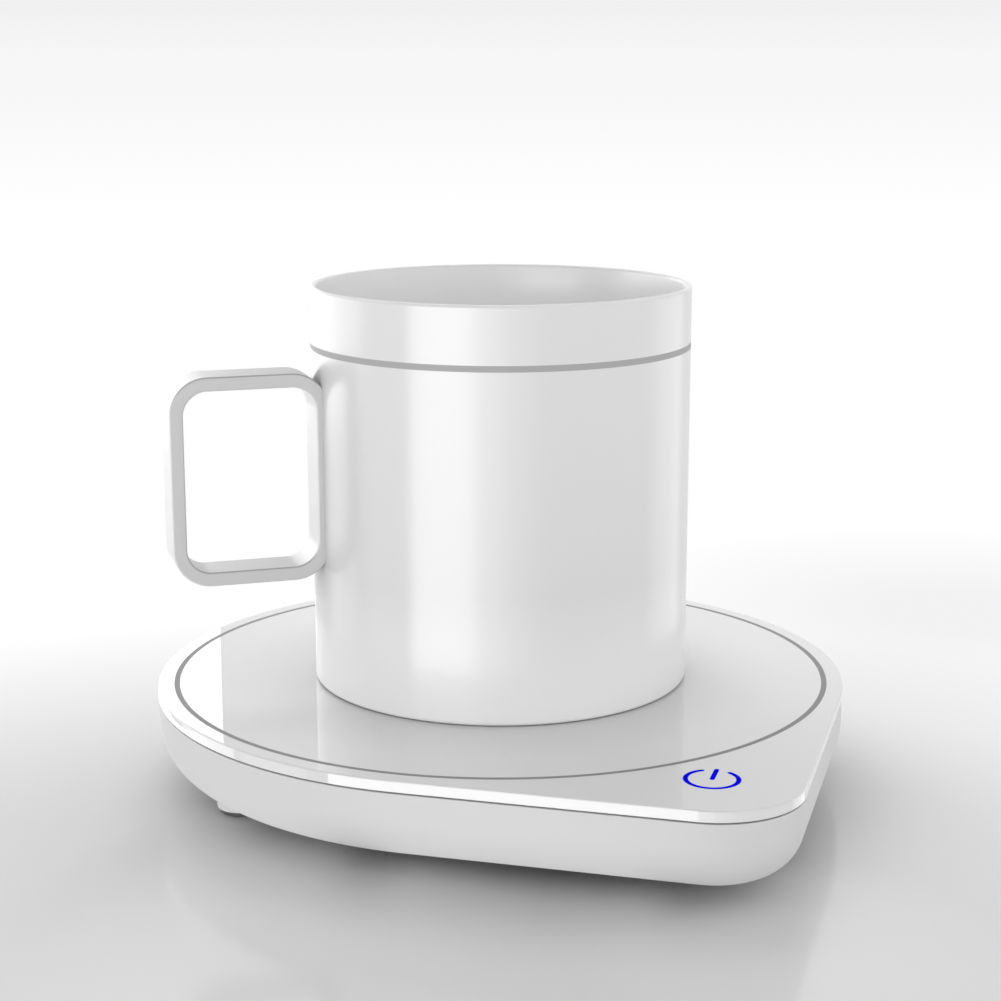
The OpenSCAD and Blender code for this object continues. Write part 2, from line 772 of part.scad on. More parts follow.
module inlet_jack() {
    e = inlet_ear;
    color("#303030") difference() {
        union() {
            translate([-inlet_w / 2, inlet_front, inlet_low])
                cube([inlet_w, inlet_face - inlet_front, inlet_high - inlet_low]);
            translate([0, inlet_face - over, inlet_z]) rotate([-90, 0, 0])
                cylinder(r = inlet_collar_r, h = inlet_end - inlet_face + over);
            translate([-inlet_w / 2 - e[0], inlet_front + gap, board_top])
                cube([inlet_w + 2 * e[0], e[1], e[2]]);
        }
        translate([0, inlet_end - inlet_depth, inlet_z]) rotate([-90, 0, 0])
            cylinder(r = inlet_r, h = inlet_depth + over);
    }
}

module inlet_pin() {
    color("#c9ccd0") translate([0, inlet_end - inlet_depth, inlet_z]) rotate([-90, 0, 0])
        cylinder(r = inlet_pin_r, h = inlet_depth - inlet_pin_tip);
}

module heater_leads() {
    color("#c23b2e") {
        for (side = [-1, 1]) swept(smooth(heater_route(side), 5), round_wire(heater_wire_r));
    }
}

module sensor_leads() {
    color("#d9b23a") {
        for (side = [-1, 1]) swept(smooth(sensor_route(side), 4), round_wire(sensor_wire_r));
    }
}

module touch_cable() {
    color("#8d9096") swept(smooth(cable_route(), 5), flat_wire(cable_w, cable_t));
}

module touch_board() {
    color("#2f6b43") translate([icon_x, -icon_y, touch_top - touch_board_t]) difference() {
        union() {
            cylinder(r = touch_board_r, h = touch_board_t);
            translate([-tail_l, -tail_w / 2]) cube([tail_l, tail_w, touch_board_t]);
        }
        for (a = [90, 0]) rotate(a) translate([touch_post_place, 0, -over])
            cylinder(r = small_r + gap, h = touch_board_t + 2 * over);
    }
}

module touch_screws() {
    color("#9a9a9a") at_touch_posts() translate([0, 0, touch_top - touch_board_t])
        small_screw_up(touch_board_t + small_l - gap);
}

// A coil spring that presses its top turn against the glass, as one unbroken wire
module touch_spring() {
    steps = 12;
    low = touch_top + spring_wire;
    rise = glass_z - touch_top - 2 * spring_wire;
    turns = spring_turns;
    total = turns * steps;
    color("#c9ccd0") translate([icon_x, -icon_y]) swept([for (i = [0 : total])
        [spring_r * cos(360 * i / steps), spring_r * sin(360 * i / steps), low + rise * i / total]],
        round_wire(spring_wire, 6));
}

module indicator_led() {
    s = led_size;
    translate([icon_x, -icon_y, touch_top]) {
        color("#f0f0f0") translate([-s[0] / 2, -s[1] / 2]) cube(s);
        color("#3a4cf0") cylinder(r = led_lens_r, h = s[2] + led_lens_h);
    }
}

module light_guide() {
    color("#eef3ff") translate([icon_x, -icon_y, touch_top]) difference() {
        cylinder(r = guide_r, h = glass_z - touch_top);
        translate([0, 0, -over]) cylinder(r = guide_pocket_r, h = guide_pocket_h + over);
    }
}

// Half section of the mug, from its axis outwards, with the lip and the rounds
module mug_section() {
    lip = lip_t / 2;
    in_r = mug_r - mug_wall;
    foot_in = mug_r - mug_foot_w;
    polygon(concat(
        [[0, mug_recess], [foot_in - mug_recess, mug_recess], [foot_in, 0]],
        arc([mug_r - mug_foot_r, mug_foot_r], mug_foot_r, -90, 0),
        [[mug_r, band_z], [mug_r - band_depth, band_z],
         [mug_r - band_depth, band_z + band_h], [mug_r, band_z + band_h]],
        arc([mug_r - lip, mug_h - lip], lip, 0, 180),
        [[in_r, mug_h - lip_taper_h]],
        arc([in_r - mug_fillet, mug_bottom + mug_fillet], mug_fillet, 0, -90),
        [[0, mug_bottom]]));
}

module mug_body() {
    color("#f4f4f4") translate([0, 0, base_h + mug_seat]) rotate_extrude() mug_section();
}

module mug_band() {
    color("#a8a8a8") translate([0, 0, base_h + mug_seat]) rotate_extrude()
        translate([mug_r - band_depth, band_z]) square([band_depth, band_h]);
}

// One corner of the handle: a quarter turn of the bar
module handle_elbow(x, y, a) {
    r = handle_corner_r;
    translate([x, y]) rotate_extrude(angle = 90, start = a)
        translate([r - handle_bar, -handle_deep / 2]) square([handle_bar, handle_deep]);
}

// The closed ring of the handle, flat, with its lower edge on the X axis
module handle_ring() {
    r = handle_corner_r;
    near = mug_r - handle_in;
    far = handle_reach;
    flat_h = handle_h - 2 * r;
    flat_w = far - near - 2 * r;
    handle_elbow(far - r, handle_h - r, 0);
    handle_elbow(near + r, handle_h - r, 90);
    handle_elbow(near + r, r, 180);
    handle_elbow(far - r, r, 270);
    for (x = [near, far - handle_bar]) translate([x, r, -handle_deep / 2])
        cube([handle_bar, flat_h, handle_deep]);
    for (y = [0, handle_h - handle_bar]) translate([near + r, y, -handle_deep / 2])
        cube([flat_w, handle_bar, handle_deep]);
}

module mug_handle() {
    color("#f4f4f4") difference() {
        rotate(handle_turn) translate([0, 0, base_h + mug_seat + handle_z]) rotate([90, 0, 0]) handle_ring();
        translate([0, 0, base_h]) cylinder(r = mug_r, h = mug_h);
    }
}

glass_top();
ring_inlay();
power_icon();
panel_gasket();
top_frame();
lower_housing();
rubber_feet();
housing_screws();
heat_spreader();
heater_film();
heating_track();
insulation_pad();
pressure_plate();
clamp_screws();
temperature_sensor();
thermal_fuse();
main_board();
board_screws();
microcontroller();
power_transistor();
filter_capacitor();
voltage_regulator();
filter_choke();
inlet_jack();
inlet_pin();
heater_connector();
sensor_connector();
touch_connectors();
heater_leads();
sensor_leads();
touch_cable();
touch_board();
touch_spring();
touch_screws();
indicator_led();
light_guide();
mug_body();
mug_band();
mug_handle();
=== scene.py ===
# %% [markdown]
# # An electric mug warmer
#
# The object is a low white base with a glossy glass top and the white mug that stands on it.
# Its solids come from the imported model, in metres, with the origin on the table under the
# middle of the printed ring. This lesson remodels every surface that can be seen with finer
# forms, gives all pieces their finishes, and sets up the table, the light and the camera.

# %% Load the frame
import json
from math import asin, cos, degrees, hypot, radians, sin

import bmesh
import bpy
from mathutils import Matrix, Vector

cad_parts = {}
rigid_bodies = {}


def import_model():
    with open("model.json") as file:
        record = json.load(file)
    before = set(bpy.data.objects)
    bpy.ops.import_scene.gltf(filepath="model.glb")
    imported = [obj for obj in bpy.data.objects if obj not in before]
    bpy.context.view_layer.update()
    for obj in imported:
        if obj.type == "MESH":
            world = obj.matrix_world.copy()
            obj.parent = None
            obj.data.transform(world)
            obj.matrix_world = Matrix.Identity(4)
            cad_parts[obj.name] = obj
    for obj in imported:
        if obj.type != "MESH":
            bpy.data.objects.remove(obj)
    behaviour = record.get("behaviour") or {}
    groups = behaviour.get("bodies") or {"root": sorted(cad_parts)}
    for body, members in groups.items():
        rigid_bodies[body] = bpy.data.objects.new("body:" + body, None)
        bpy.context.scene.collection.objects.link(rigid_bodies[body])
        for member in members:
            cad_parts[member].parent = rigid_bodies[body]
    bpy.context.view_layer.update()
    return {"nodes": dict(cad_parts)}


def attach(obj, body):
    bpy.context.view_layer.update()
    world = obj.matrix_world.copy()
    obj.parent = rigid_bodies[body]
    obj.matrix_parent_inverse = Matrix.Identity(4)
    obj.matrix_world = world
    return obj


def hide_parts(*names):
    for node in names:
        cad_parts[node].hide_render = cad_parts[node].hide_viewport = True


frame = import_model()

# %% [markdown]
# ## The camera
#
# The view is that of a long lens from a little above, turned about fifteen degrees to the
# straight front edge. The picture is square, so the lens is given for the sensor's width and
# the place and turn are plain numbers that were solved from the ring, the rim and the edges.

# %% Camera
camera_data = bpy.data.cameras.new("view")
camera_data.lens = 73.96
camera_data.sensor_width = 36.0
camera_data.clip_start = 0.01
camera = bpy.data.objects.new("view", camera_data)
camera.location = (0.10876, -0.39457, 0.14440)
camera.rotation_euler = (radians(77.769), 0.0, radians(15.411))
bpy.context.scene.collection.objects.link(camera)
bpy.context.scene.camera = camera
print("camera distance", round(camera.location.length, 3), "m")

# %% [markdown]
# ## Drawing with a pen
#
# Most forms of this object are a round or a rounded outline that is then filled, pulled up or
# turned about an axis. One could add cylinders and scale them, but the base is three quarters
# of a circle with one square corner, so outlines are drawn as with a pen: put down a dot,
# pull a straight stroke, or turn about a centre. Everything is drawn in millimetres, because
# that is how such parts are drawn in a workshop, and scaled to metres once at the end.

# %% Pen strokes
MERGE = 0.0005           # corners nearer than this become one, in millimetres
SIDE = (0, -1, 0)        # an axis for arcs drawn in the X-Z plane, from +X towards +Z


def dot(bm, x, y, z):
    """Puts the pen down."""
    return bmesh.ops.create_vert(bm, co=(x, y, z))["vert"][0]


def stroke(bm, tip, x, y, z):
    """Pulls a straight edge from the tip to a new place."""
    end = bmesh.ops.extrude_vert_indiv(bm, verts=[tip])["verts"][0]
    end.co = (x, y, z)
    return end


def strokes(bm, tip, points):
    """Straight edges through points of a section, given as radius and height."""
    for radius, z in points:
        tip = stroke(bm, tip, radius, 0, z)
    return tip


def corners(parts):
    """The corners among the parts that a step has made."""
    return [part for part in parts if isinstance(part, bmesh.types.BMVert)]


def turn(bm, tip, centre, angle, steps, axis=(0, 0, 1)):
    """Turns the tip about a centre and leaves an arc behind."""
    made = bmesh.ops.spin(bm, geom=[tip], cent=centre, axis=axis, dvec=(0, 0, 0),
                          angle=radians(angle), steps=steps, use_duplicate=False)
    return corners(made["geom_last"])[0]


def weld(bm):
    """Makes one corner of those that lie on the same place."""
    bmesh.ops.remove_doubles(bm, verts=bm.verts, dist=MERGE)


def lathe(bm, steps):
    """Turns everything drawn so far once about the vertical axis."""
    bmesh.ops.spin(bm, geom=bm.verts[:] + bm.edges[:], cent=(0, 0, 0), axis=(0, 0, 1),
                   dvec=(0, 0, 0), angle=radians(360), steps=steps, use_merge=True)
    weld(bm)


def pull(bm, faces, move):
    """Pulls faces to a new place and leaves walls behind."""
    made = bmesh.ops.extrude_face_region(bm, geom=faces)
    bmesh.ops.translate(bm, vec=move, verts=corners(made["geom"]))


def ease(bm, edges, width, steps):
    """Rounds edges by a small width."""
    bmesh.ops.bevel(bm, geom=edges, offset=width, segments=steps, affect="EDGES", profile=0.5, material=-1)


probe = bmesh.new()
quarter = turn(probe, dot(probe, 1, 0, 0), (0, 0, 0), 90, 4)
print("a quarter turn goes to", [round(value, 3) for value in quarter.co])
probe.free()

# %% [markdown]
# ## From a drawn form to a finished piece
#
# A piece gets its doubles merged, its faces turned outwards, and its size brought to metres.
# Flat faces beside small rounds would shade like pillows if all corners were plainly averaged,
# so each piece is smooth, sharp above an angle, and has weighted normals, which let the large
# faces decide. A cut is a Boolean that is applied at once, so the piece that stays is a mesh.

# %% Finished pieces
MM = 0.001               # a millimetre in metres


def solid(bm, name):
    """Makes an object of the drawn form, in metres."""
    weld(bm)
    bmesh.ops.recalc_face_normals(bm, faces=bm.faces)
    bmesh.ops.scale(bm, vec=(MM, MM, MM), verts=bm.verts)
    mesh = bpy.data.meshes.new(name)
    bm.to_mesh(mesh)
    bm.free()
    piece = bpy.data.objects.new(name, mesh)
    bpy.context.scene.collection.objects.link(piece)
    return piece


def combine(piece, form, operation):
    """Cuts a drawn form out of the piece or joins it on."""
    tool = solid(form, "tool")
    boolean = piece.modifiers.new("boolean", "BOOLEAN")
    boolean.operation = operation
    boolean.solver = "EXACT"
    boolean.object = tool
    graph = bpy.context.evaluated_depsgraph_get()
    old = piece.data
    piece.data = bpy.data.meshes.new_from_object(piece.evaluated_get(graph))
    piece.modifiers.clear()
    bpy.data.meshes.remove(old)
    bpy.data.meshes.remove(tool.data)


def settle(piece, body, nodes, sharp=35):
    """Shades a piece, lets it ride on its body and stand for its nodes."""
    piece.data.shade_smooth()
    piece.data.set_sharp_from_angle(angle=radians(sharp))
    weights = piece.modifiers.new("weights", "WEIGHTED_NORMAL")
    weights.keep_sharp = True
    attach(piece, body)
    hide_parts(*nodes)
    piece.data.calc_loop_triangles()
    print(piece.name, len(piece.data.loop_triangles), "triangles")


# %% [markdown]
# ## The outline of the base
#
# Seen from above, glass, seam and housing share one outline: three quarters of a circle, and
# one corner that stays square with a round of its own. One function draws it at any height
# and any distance inwards. A second one lays walls between such outlines, so a whole shell
# with a rounded lower edge is a list of distances and heights. Each outline is drawn on a
# sheet of its own and then laid in, because a turn slows down with all that is there already.

# %% Outline and walls
BASE_R = 70.0
CORNER_R = 16.7
BASE_H = 20.0
ROUND_STEPS, CORNER_STEPS = 216, 36


def outline(bm, inset, z):
    """One closed outline of the base."""
    reach = BASE_R - inset
    corner = BASE_R - CORNER_R
    first = dot(bm, reach, 0, z)
    tip = turn(bm, first, (0, 0, z), 270, ROUND_STEPS)
    tip = stroke(bm, tip, corner, -reach, z)
    tip = turn(bm, tip, (corner, -corner, z), 90, CORNER_STEPS)
    bm.edges.new((tip, first))


def walls(bm, places, draw=outline):
    """Joins outlines at the given insets and heights; gives the first and the last one."""
    loops = []
    for inset, z in places:
        sheet = bmesh.new()
        draw(sheet, inset, z)
        drawn = bpy.data.meshes.new("sheet")
        sheet.to_mesh(drawn)
        sheet.free()
        count = len(bm.edges)
        bm.from_mesh(drawn)
        bpy.data.meshes.remove(drawn)
        bm.edges.ensure_lookup_table()
        loops.append(bm.edges[count:])
    for lower, upper in zip(loops, loops[1:]):
        bmesh.ops.bridge_loops(bm, edges=lower + upper)
    return loops[0], loops[-1]


def rounding(inset, z, radius, start, end, steps):
    """Places along a round, with its centre's inset and height; angles from outwards to up."""
    angles = [radians(start + (end - start) * i / steps) for i in range(steps + 1)]
    return [(inset - radius * cos(a), z + radius * sin(a)) for a in angles]


probe = bmesh.new()
outline(probe, 0.0, 0.0)
print("the outline has", len(probe.verts), "corners")
probe.free()

# %% [markdown]
# ## The power mark and the ring
#
# Both marks are printed in one layer, so they lie flush in the glass. The power mark is a
# broken circle with round line ends and a bar in its gap. Drawing it as one closed outline
# and pulling that up gives clean ends. The same function makes the printed piece and, a
# little taller, the tool that cuts its bed out of the glass.

# %% Marks
MARK_DEPTH = 0.2
RING_OUT = 66.8
RING_IN = 65.7
RING_STEPS = 288
MARK_X, MARK_Y = 53.5, -54.2
MARK_R = 5.15
MARK_LINE = 0.92
MARK_OPEN = 53.0
MARK_BAR = 5.45
ARC_STEPS, END_STEPS = 80, 10


def fill_and_raise(bm, edges, z):
    """Closes a flat outline and pulls it up to a height."""
    faces = bmesh.ops.edgeloop_fill(bm, edges=edges)["faces"]
    pull(bm, faces, (0, 0, z - faces[0].verts[0].co.z))


def power_mark(low, high):
    """The broken circle and its bar."""
    bm = bmesh.new()
    centre = (MARK_X, MARK_Y, low)
    half = MARK_LINE / 2
    middle = MARK_R - half
    end = radians(90 - MARK_OPEN / 2 - degrees(asin(half / middle)))
    sweep = 360 - 2 * (90 - degrees(end))
    first = dot(bm, MARK_X + MARK_R * cos(end), MARK_Y + MARK_R * sin(end), low)
    tip = turn(bm, first, centre, -sweep, ARC_STEPS)
    tip = turn(bm, tip, (MARK_X - middle * cos(end), MARK_Y + middle * sin(end), low), -180, END_STEPS)
    tip = turn(bm, tip, centre, sweep, ARC_STEPS)
    turn(bm, tip, (MARK_X + middle * cos(end), MARK_Y + middle * sin(end), low), -180, END_STEPS)
    weld(bm)
    fill_and_raise(bm, bm.edges[:], high)
    before = set(bm.edges)
    top = MARK_Y + MARK_BAR - half
    first = dot(bm, MARK_X + half, MARK_Y, low)
    tip = stroke(bm, first, MARK_X + half, top, low)
    tip = turn(bm, tip, (MARK_X, top, low), 180, END_STEPS)
    tip = stroke(bm, tip, MARK_X - half, MARK_Y, low)
    turn(bm, tip, centre, 180, END_STEPS)
    weld(bm)
    fill_and_raise(bm, [edge for edge in bm.edges if edge not in before], high)
    return bm


def ring_band(inner, outer, low, high, steps=RING_STEPS):
    """A flat ring turned from a small rectangle."""
    bm = bmesh.new()
    first = dot(bm, inner, 0, low)
    tip = strokes(bm, first, [(outer, low), (outer, high), (inner, high)])
    bm.edges.new((tip, first))
    lathe(bm, steps)
    return bm


ring = solid(ring_band(RING_IN, RING_OUT, BASE_H - MARK_DEPTH, BASE_H), "printed_ring")
mark = solid(power_mark(BASE_H - MARK_DEPTH, BASE_H), "printed_power_mark")
settle(ring, "base", ["ring_inlay"])
settle(mark, "base", ["power_icon"])

# %% [markdown]
# ## The glass top
#
# On the real base this is one plate of glass, painted white from behind, with its edges
# ground to a tiny round. The plate is the outline at a few heights, and the marks' beds are
# cut out of it. A bevel could make the round too, but drawn walls keep its width the same
# along the square corner.

# %% Glass
GLASS_LOW = 17.8
GLASS_EASE = 0.15        # the chamfer of its lower edge
EDGE_R = 0.3
PAST = 1                 # how far a tool reaches past the face that it cuts

bm = bmesh.new()
places = [(GLASS_EASE, GLASS_LOW), (0.0, GLASS_LOW + GLASS_EASE)]
places += rounding(EDGE_R, BASE_H - EDGE_R, EDGE_R, 0, 90, steps=5)
lowest, highest = walls(bm, places)
bmesh.ops.edgeloop_fill(bm, edges=lowest)
bmesh.ops.edgeloop_fill(bm, edges=highest)
glass = solid(bm, "glass_plate")
combine(glass, ring_band(RING_IN, RING_OUT, BASE_H - MARK_DEPTH, BASE_H + PAST), "DIFFERENCE")
combine(glass, power_mark(BASE_H - MARK_DEPTH, BASE_H + PAST), "DIFFERENCE")
settle(glass, "base", ["glass_top"])

# %% [markdown]
# ## The seam
#
# Between glass and housing lies a thin dark gasket, set back half a millimetre, so what shows
# is a fine shadow line. A soft gasket bulges a little where it is pressed, so its visible side
# is a shallow round and not a plain wall.

# %% Gasket
SEAM_LOW = 17.5
SEAM_INSET = 0.5
SEAM_W = 5.0
BULGE, BULGE_H = 0.05, 0.08

bm = bmesh.new()
front, back = SEAM_INSET + BULGE, SEAM_INSET + SEAM_W
first, last = walls(bm, [(back, SEAM_LOW), (front, SEAM_LOW), (SEAM_INSET, SEAM_LOW + BULGE_H),
                         (SEAM_INSET, GLASS_LOW - BULGE_H), (front, GLASS_LOW), (back, GLASS_LOW)])
bmesh.ops.bridge_loops(bm, edges=first + last)
gasket = solid(bm, "seam_gasket")
settle(gasket, "base", ["panel_gasket"])

# %% [markdown]
# ## The housing
#
# A moulded shell with a wall of about two millimetres. Its outside falls straight from the
# seam and turns under in one large round; inside it has a ledge for the frame, a round that
# follows the outer one, bosses for the screws and posts for the board. All the walls are
# outlines at heights, in one closed run from the outer floor over the rim to the inner floor.

# %% Housing shell
GROUND = 3.6
BELLY_R, INNER_R = 9.0, 7.0
HOUSING_IN = 0.1
WALL = 2.0
RIM_R = 0.15
LEDGE_IN, LEDGE_LOW, LEDGE_HIGH = 3.5, 13.5, 15.5

bm = bmesh.new()
inner_wall = HOUSING_IN + WALL
places = rounding(HOUSING_IN + BELLY_R, GROUND + BELLY_R, BELLY_R, -90, 0, steps=18)
places += rounding(HOUSING_IN + RIM_R, SEAM_LOW - RIM_R, RIM_R, 0, 90, steps=3)
places += [(inner_wall, SEAM_LOW), (inner_wall, LEDGE_HIGH), (LEDGE_IN, LEDGE_HIGH),
           (LEDGE_IN, LEDGE_LOW), (inner_wall, LEDGE_LOW)]
places += rounding(inner_wall + INNER_R, GROUND + WALL + INNER_R, INNER_R, 0, -90, steps=10)
first, last = walls(bm, places)
bmesh.ops.edgeloop_fill(bm, edges=first)
bmesh.ops.edgeloop_fill(bm, edges=last)
housing = solid(bm, "housing_shell")

# %% [markdown]
# Four bosses carry the pads outside and guide the screws inside. Each is turned as one solid,
# joined on, and then drilled by a turned tool with the same steps as the real one: the bed of
# the pad, the room for the screw's head, and the hole for its shank.

# %% Bosses and posts
FOOT = 41.012            # along X and along Y, from the middle to a foot
FEET = [(x, y) for x in (-FOOT, FOOT) for y in (-FOOT, FOOT)]
POSTS = [(x, y) for x in (-22.8, 22.8) for y in (25.2, 54.8)]
TURN_STEPS = 96
BOSS = [(0, 1.0), (4.7, 1.0), (4.84, 1.06), (4.9, 1.2), (4.9, 4.9),
        (4.5, 4.9), (4.5, 9.4), (4.4, 9.5), (0, 9.5)]
BORE = [(0, 0.5), (4.45, 0.5), (4.45, 1.6), (2.9, 1.6), (2.9, 4.6), (1.55, 4.6), (1.55, 9.8), (0, 9.8)]
POST = [(0, 4.6), (2.4, 4.6), (2.4, 7.5), (2.3, 7.6), (0, 7.6)]
PILOT = [(0, 5.9), (1.0, 5.9), (1.0, 8.0), (0, 8.0)]


def turned(points, steps=TURN_STEPS):
    """Turns a section, given as radius and height, about the vertical axis."""
    bm = bmesh.new()
    radius, z = points[0]
    strokes(bm, dot(bm, radius, 0, z), points[1:])
    lathe(bm, steps)
    return bm


def repeat(bm, places):
    """Copies the form to each place and removes the first one."""
    first = bm.verts[:] + bm.edges[:] + bm.faces[:]
    for x, y in places:
        copy = bmesh.ops.duplicate(bm, geom=first)["geom"]
        bmesh.ops.translate(bm, vec=(x, y, 0), verts=corners(copy))
    bmesh.ops.delete(bm, geom=corners(first), context="VERTS")
    return bm


combine(housing, repeat(turned(BOSS), FEET), "UNION")
combine(housing, repeat(turned(POST, steps=48), POSTS), "UNION")
combine(housing, repeat(turned(BORE), FEET), "DIFFERENCE")
combine(housing, repeat(turned(PILOT, steps=32), POSTS), "DIFFERENCE")
print("housing has", len(housing.data.polygons), "faces")

# %% [markdown]
# The inlet is a round hole at the back. Its edge is eased by a small cone, as a mould would
# leave it, and behind it a box is cleared for the socket.

# %% Inlet hole
INLET_Z = 11.1
HOLE = [(0, 60), (4.0, 60), (4.0, 69.35), (4.5, 70.2), (4.5, 72), (0, 72)]
ROOM_SIZE, ROOM_PLACE = (9.2, 15.0, 8.5), (0, 57.4, 11.25)


def along_back(bm):
    """Lays a turned form down at the inlet's height, so that its axis points to the back."""
    bmesh.ops.rotate(bm, cent=(0, 0, 0), matrix=Matrix.Rotation(radians(-90), 3, "X"), verts=bm.verts)
    bmesh.ops.translate(bm, vec=(0, 0, INLET_Z), verts=bm.verts)
    return bm


def box(size, place):
    """A box of a size about a place."""
    bm = bmesh.new()
    bmesh.ops.create_cube(bm, size=1)
    bmesh.ops.scale(bm, vec=size, verts=bm.verts)
    bmesh.ops.translate(bm, vec=place, verts=bm.verts)
    return bm


combine(housing, along_back(turned(HOLE)), "DIFFERENCE")
combine(housing, box(ROOM_SIZE, ROOM_PLACE), "DIFFERENCE")
settle(housing, "base", ["lower_housing"], sharp=30)

# %% [markdown]
# ## The pads
#
# Each foot ends in a rubber pad pressed into its boss. The pad's lower edge is rounded, and
# its sole has two fine grooves that keep it from sliding, so its section is turned like the
# others.

# %% Pads
SOLE_Z = 0.25            # the bottom of the grooves
SOLE = [(1.2, SOLE_Z), (1.35, 0.0), (2.1, 0.0), (2.25, SOLE_Z), (2.6, SOLE_Z), (2.75, 0.0), (4.05, 0.0)]
PAD_ROUND = (4.05, 0, 0.35)
PAD_SIDE = [(4.4, 1.6), (0, 1.6)]

bm = bmesh.new()
tip = strokes(bm, dot(bm, 0, 0, SOLE_Z), SOLE)
tip = turn(bm, tip, PAD_ROUND, 90, steps=5, axis=SIDE)
strokes(bm, tip, PAD_SIDE)
lathe(bm, TURN_STEPS)
pads = solid(repeat(bm, FEET), "foot_pads")
settle(pads, "base", ["rubber_feet"])

# %% [markdown]
# ## The socket
#
# Behind the hole sits a low voltage barrel socket: a moulded block with a collar that has an
# eased mouth, and a metal pin in its middle. The block is a cube with its edges bevelled, the
# collar is turned and laid down.

# %% Socket
BLOCK_SIZE, BLOCK_PLACE = (9.0, 14.9, 8.0), (0, 57.35, 11.1)
BLOCK_EASE = 0.3
COLLAR = [(0, 64.0), (3.9, 64.0), (3.9, 68.4), (3.7, 68.6),
          (3.25, 68.6), (3.05, 68.3), (3.05, 66.0), (0, 66.0)]
SOCKET_BORE = [(0, 59.1), (3.05, 59.1), (3.05, 66.2), (0, 66.2)]
PIN = [(0, 59.1), (1.0, 59.1), (1.0, 66.6), (0.85, 66.9), (0.5, 67.05), (0, 67.1)]

bm = box(BLOCK_SIZE, BLOCK_PLACE)
ease(bm, bm.edges[:], BLOCK_EASE, steps=2)
socket = solid(bm, "inlet_socket")
combine(socket, along_back(turned(COLLAR)), "UNION")
combine(socket, along_back(turned(SOCKET_BORE)), "DIFFERENCE")
settle(socket, "base", ["inlet_jack"])

pin = solid(along_back(turned(PIN, steps=48)), "inlet_centre_pin")
settle(pin, "base", ["inlet_pin"])

# %% [markdown]
# ## The mug
#
# A mug is a form of revolution, so its section is drawn once, from the middle of the hollow
# underside over the foot, the wall, the rim and the inside back to the middle, and turned.
# The lip is a full round, the inside widens a little towards it, and a shallow groove holds
# the grey line. The mesh stores which corners lie inside, where the finish gives the glaze a
# lighter tone, as painted light.

# %% Mug body and line
MUG_Z = 20.05
MUG_R = 38.0
MUG_STEPS = 256
BAND_Z, BAND_H, BAND_DEPTH = 67.7, 1.2, 0.4
UNDER_Z = 0.6            # the hollow underside
MUG_FOOT = [(34.2, UNDER_Z), (34.45, 0.55), (34.95, 0.05), (35.1, 0.0), (37.2, 0.0)]
FOOT_ROUND = (37.2, 0, 0.8)
LIP_Z, LIP_ROUND = 79.35, (37.35, 0, 79.35)
MUG_INSIDE = [(35.4, 71), (35.4, 11)]
FLOOR_ROUND, FLOOR_Z = (28.4, 0, 11), 4
INSIDE_R, INSIDE_Z = 36.75, 3.9      # within this radius and above this height lies the inside

bm = bmesh.new()
tip = strokes(bm, dot(bm, 0, 0, UNDER_Z), MUG_FOOT)
tip = turn(bm, tip, FOOT_ROUND, 90, steps=8, axis=SIDE)
tip = strokes(bm, tip, [(MUG_R, BAND_Z), (MUG_R - BAND_DEPTH, BAND_Z),
                        (MUG_R - BAND_DEPTH, BAND_Z + BAND_H), (MUG_R, BAND_Z + BAND_H), (MUG_R, LIP_Z)])
tip = turn(bm, tip, LIP_ROUND, 180, steps=14, axis=SIDE)
tip = strokes(bm, tip, MUG_INSIDE)
tip = turn(bm, tip, FLOOR_ROUND, -90, steps=14, axis=SIDE)
stroke(bm, tip, 0, 0, FLOOR_Z)
lathe(bm, MUG_STEPS)
bmesh.ops.translate(bm, vec=(0, 0, MUG_Z), verts=bm.verts)
mug = solid(bm, "mug_pot")
settle(mug, "mug", ["mug_body"])

# Which corners lie inside, where painted light makes the glaze lighter.
inside = mug.data.attributes.new("inside_painted_light", "FLOAT", "POINT")
for corner, stored in zip(mug.data.vertices, inside.data):
    radius = 1000 * hypot(corner.co.x, corner.co.y)
    stored.value = float(radius < INSIDE_R and 1000 * corner.co.z > MUG_Z + INSIDE_Z)
print("corners inside", sum(stored.value > 0 for stored in inside.data))

bm = ring_band(MUG_R - BAND_DEPTH, MUG_R, MUG_Z + BAND_Z, MUG_Z + BAND_Z + BAND_H, MUG_STEPS)
band = solid(bm, "mug_line")
settle(band, "mug", ["mug_band"])

# %% [markdown]
# ## The handle
#
# The handle is a flat closed ring with large outer and smaller inner corners and finely eased
# edges. Two outlines are drawn in the X-Z plane and bridged, the face is pulled to its depth,
# all its rims are bevelled, and the ring is turned to its place. Then the mug's own cylinder
# is cut out of it, which gives the crisp joint that the real one shows.

# %% Handle
HANDLE_NEAR, HANDLE_FAR = 36.15, 67.5
HANDLE_LOW, HANDLE_HIGH = 43.45, 84.45
HANDLE_BAR, HANDLE_DEEP = 2.75, 9.3
HANDLE_CORNER = 7.5
HANDLE_TURN = 213.0
HANDLE_EDGE = 0.35
RIM_ANGLE = 60
CORE = [(0, 30), (37.97, 30), (37.97, 95), (0, 95)]      # a hair less than the mug's round


def ring_outline(bm, inset, y):
    """A rounded rectangle in the X-Z plane."""
    radius = HANDLE_CORNER - inset
    left, right = HANDLE_NEAR + HANDLE_CORNER, HANDLE_FAR - HANDLE_CORNER
    low, high = HANDLE_LOW + HANDLE_CORNER, HANDLE_HIGH - HANDLE_CORNER
    tip = dot(bm, right + radius, y, low)
    for start, centre in [((right + radius, high), (right, high)), ((left, high + radius), (left, high)),
                          ((left - radius, low), (left, low)), ((right, low - radius), (right, low))]:
        tip = stroke(bm, tip, start[0], y, start[1])
        tip = turn(bm, tip, (centre[0], y, centre[1]), 90, steps=20, axis=SIDE)
    weld(bm)


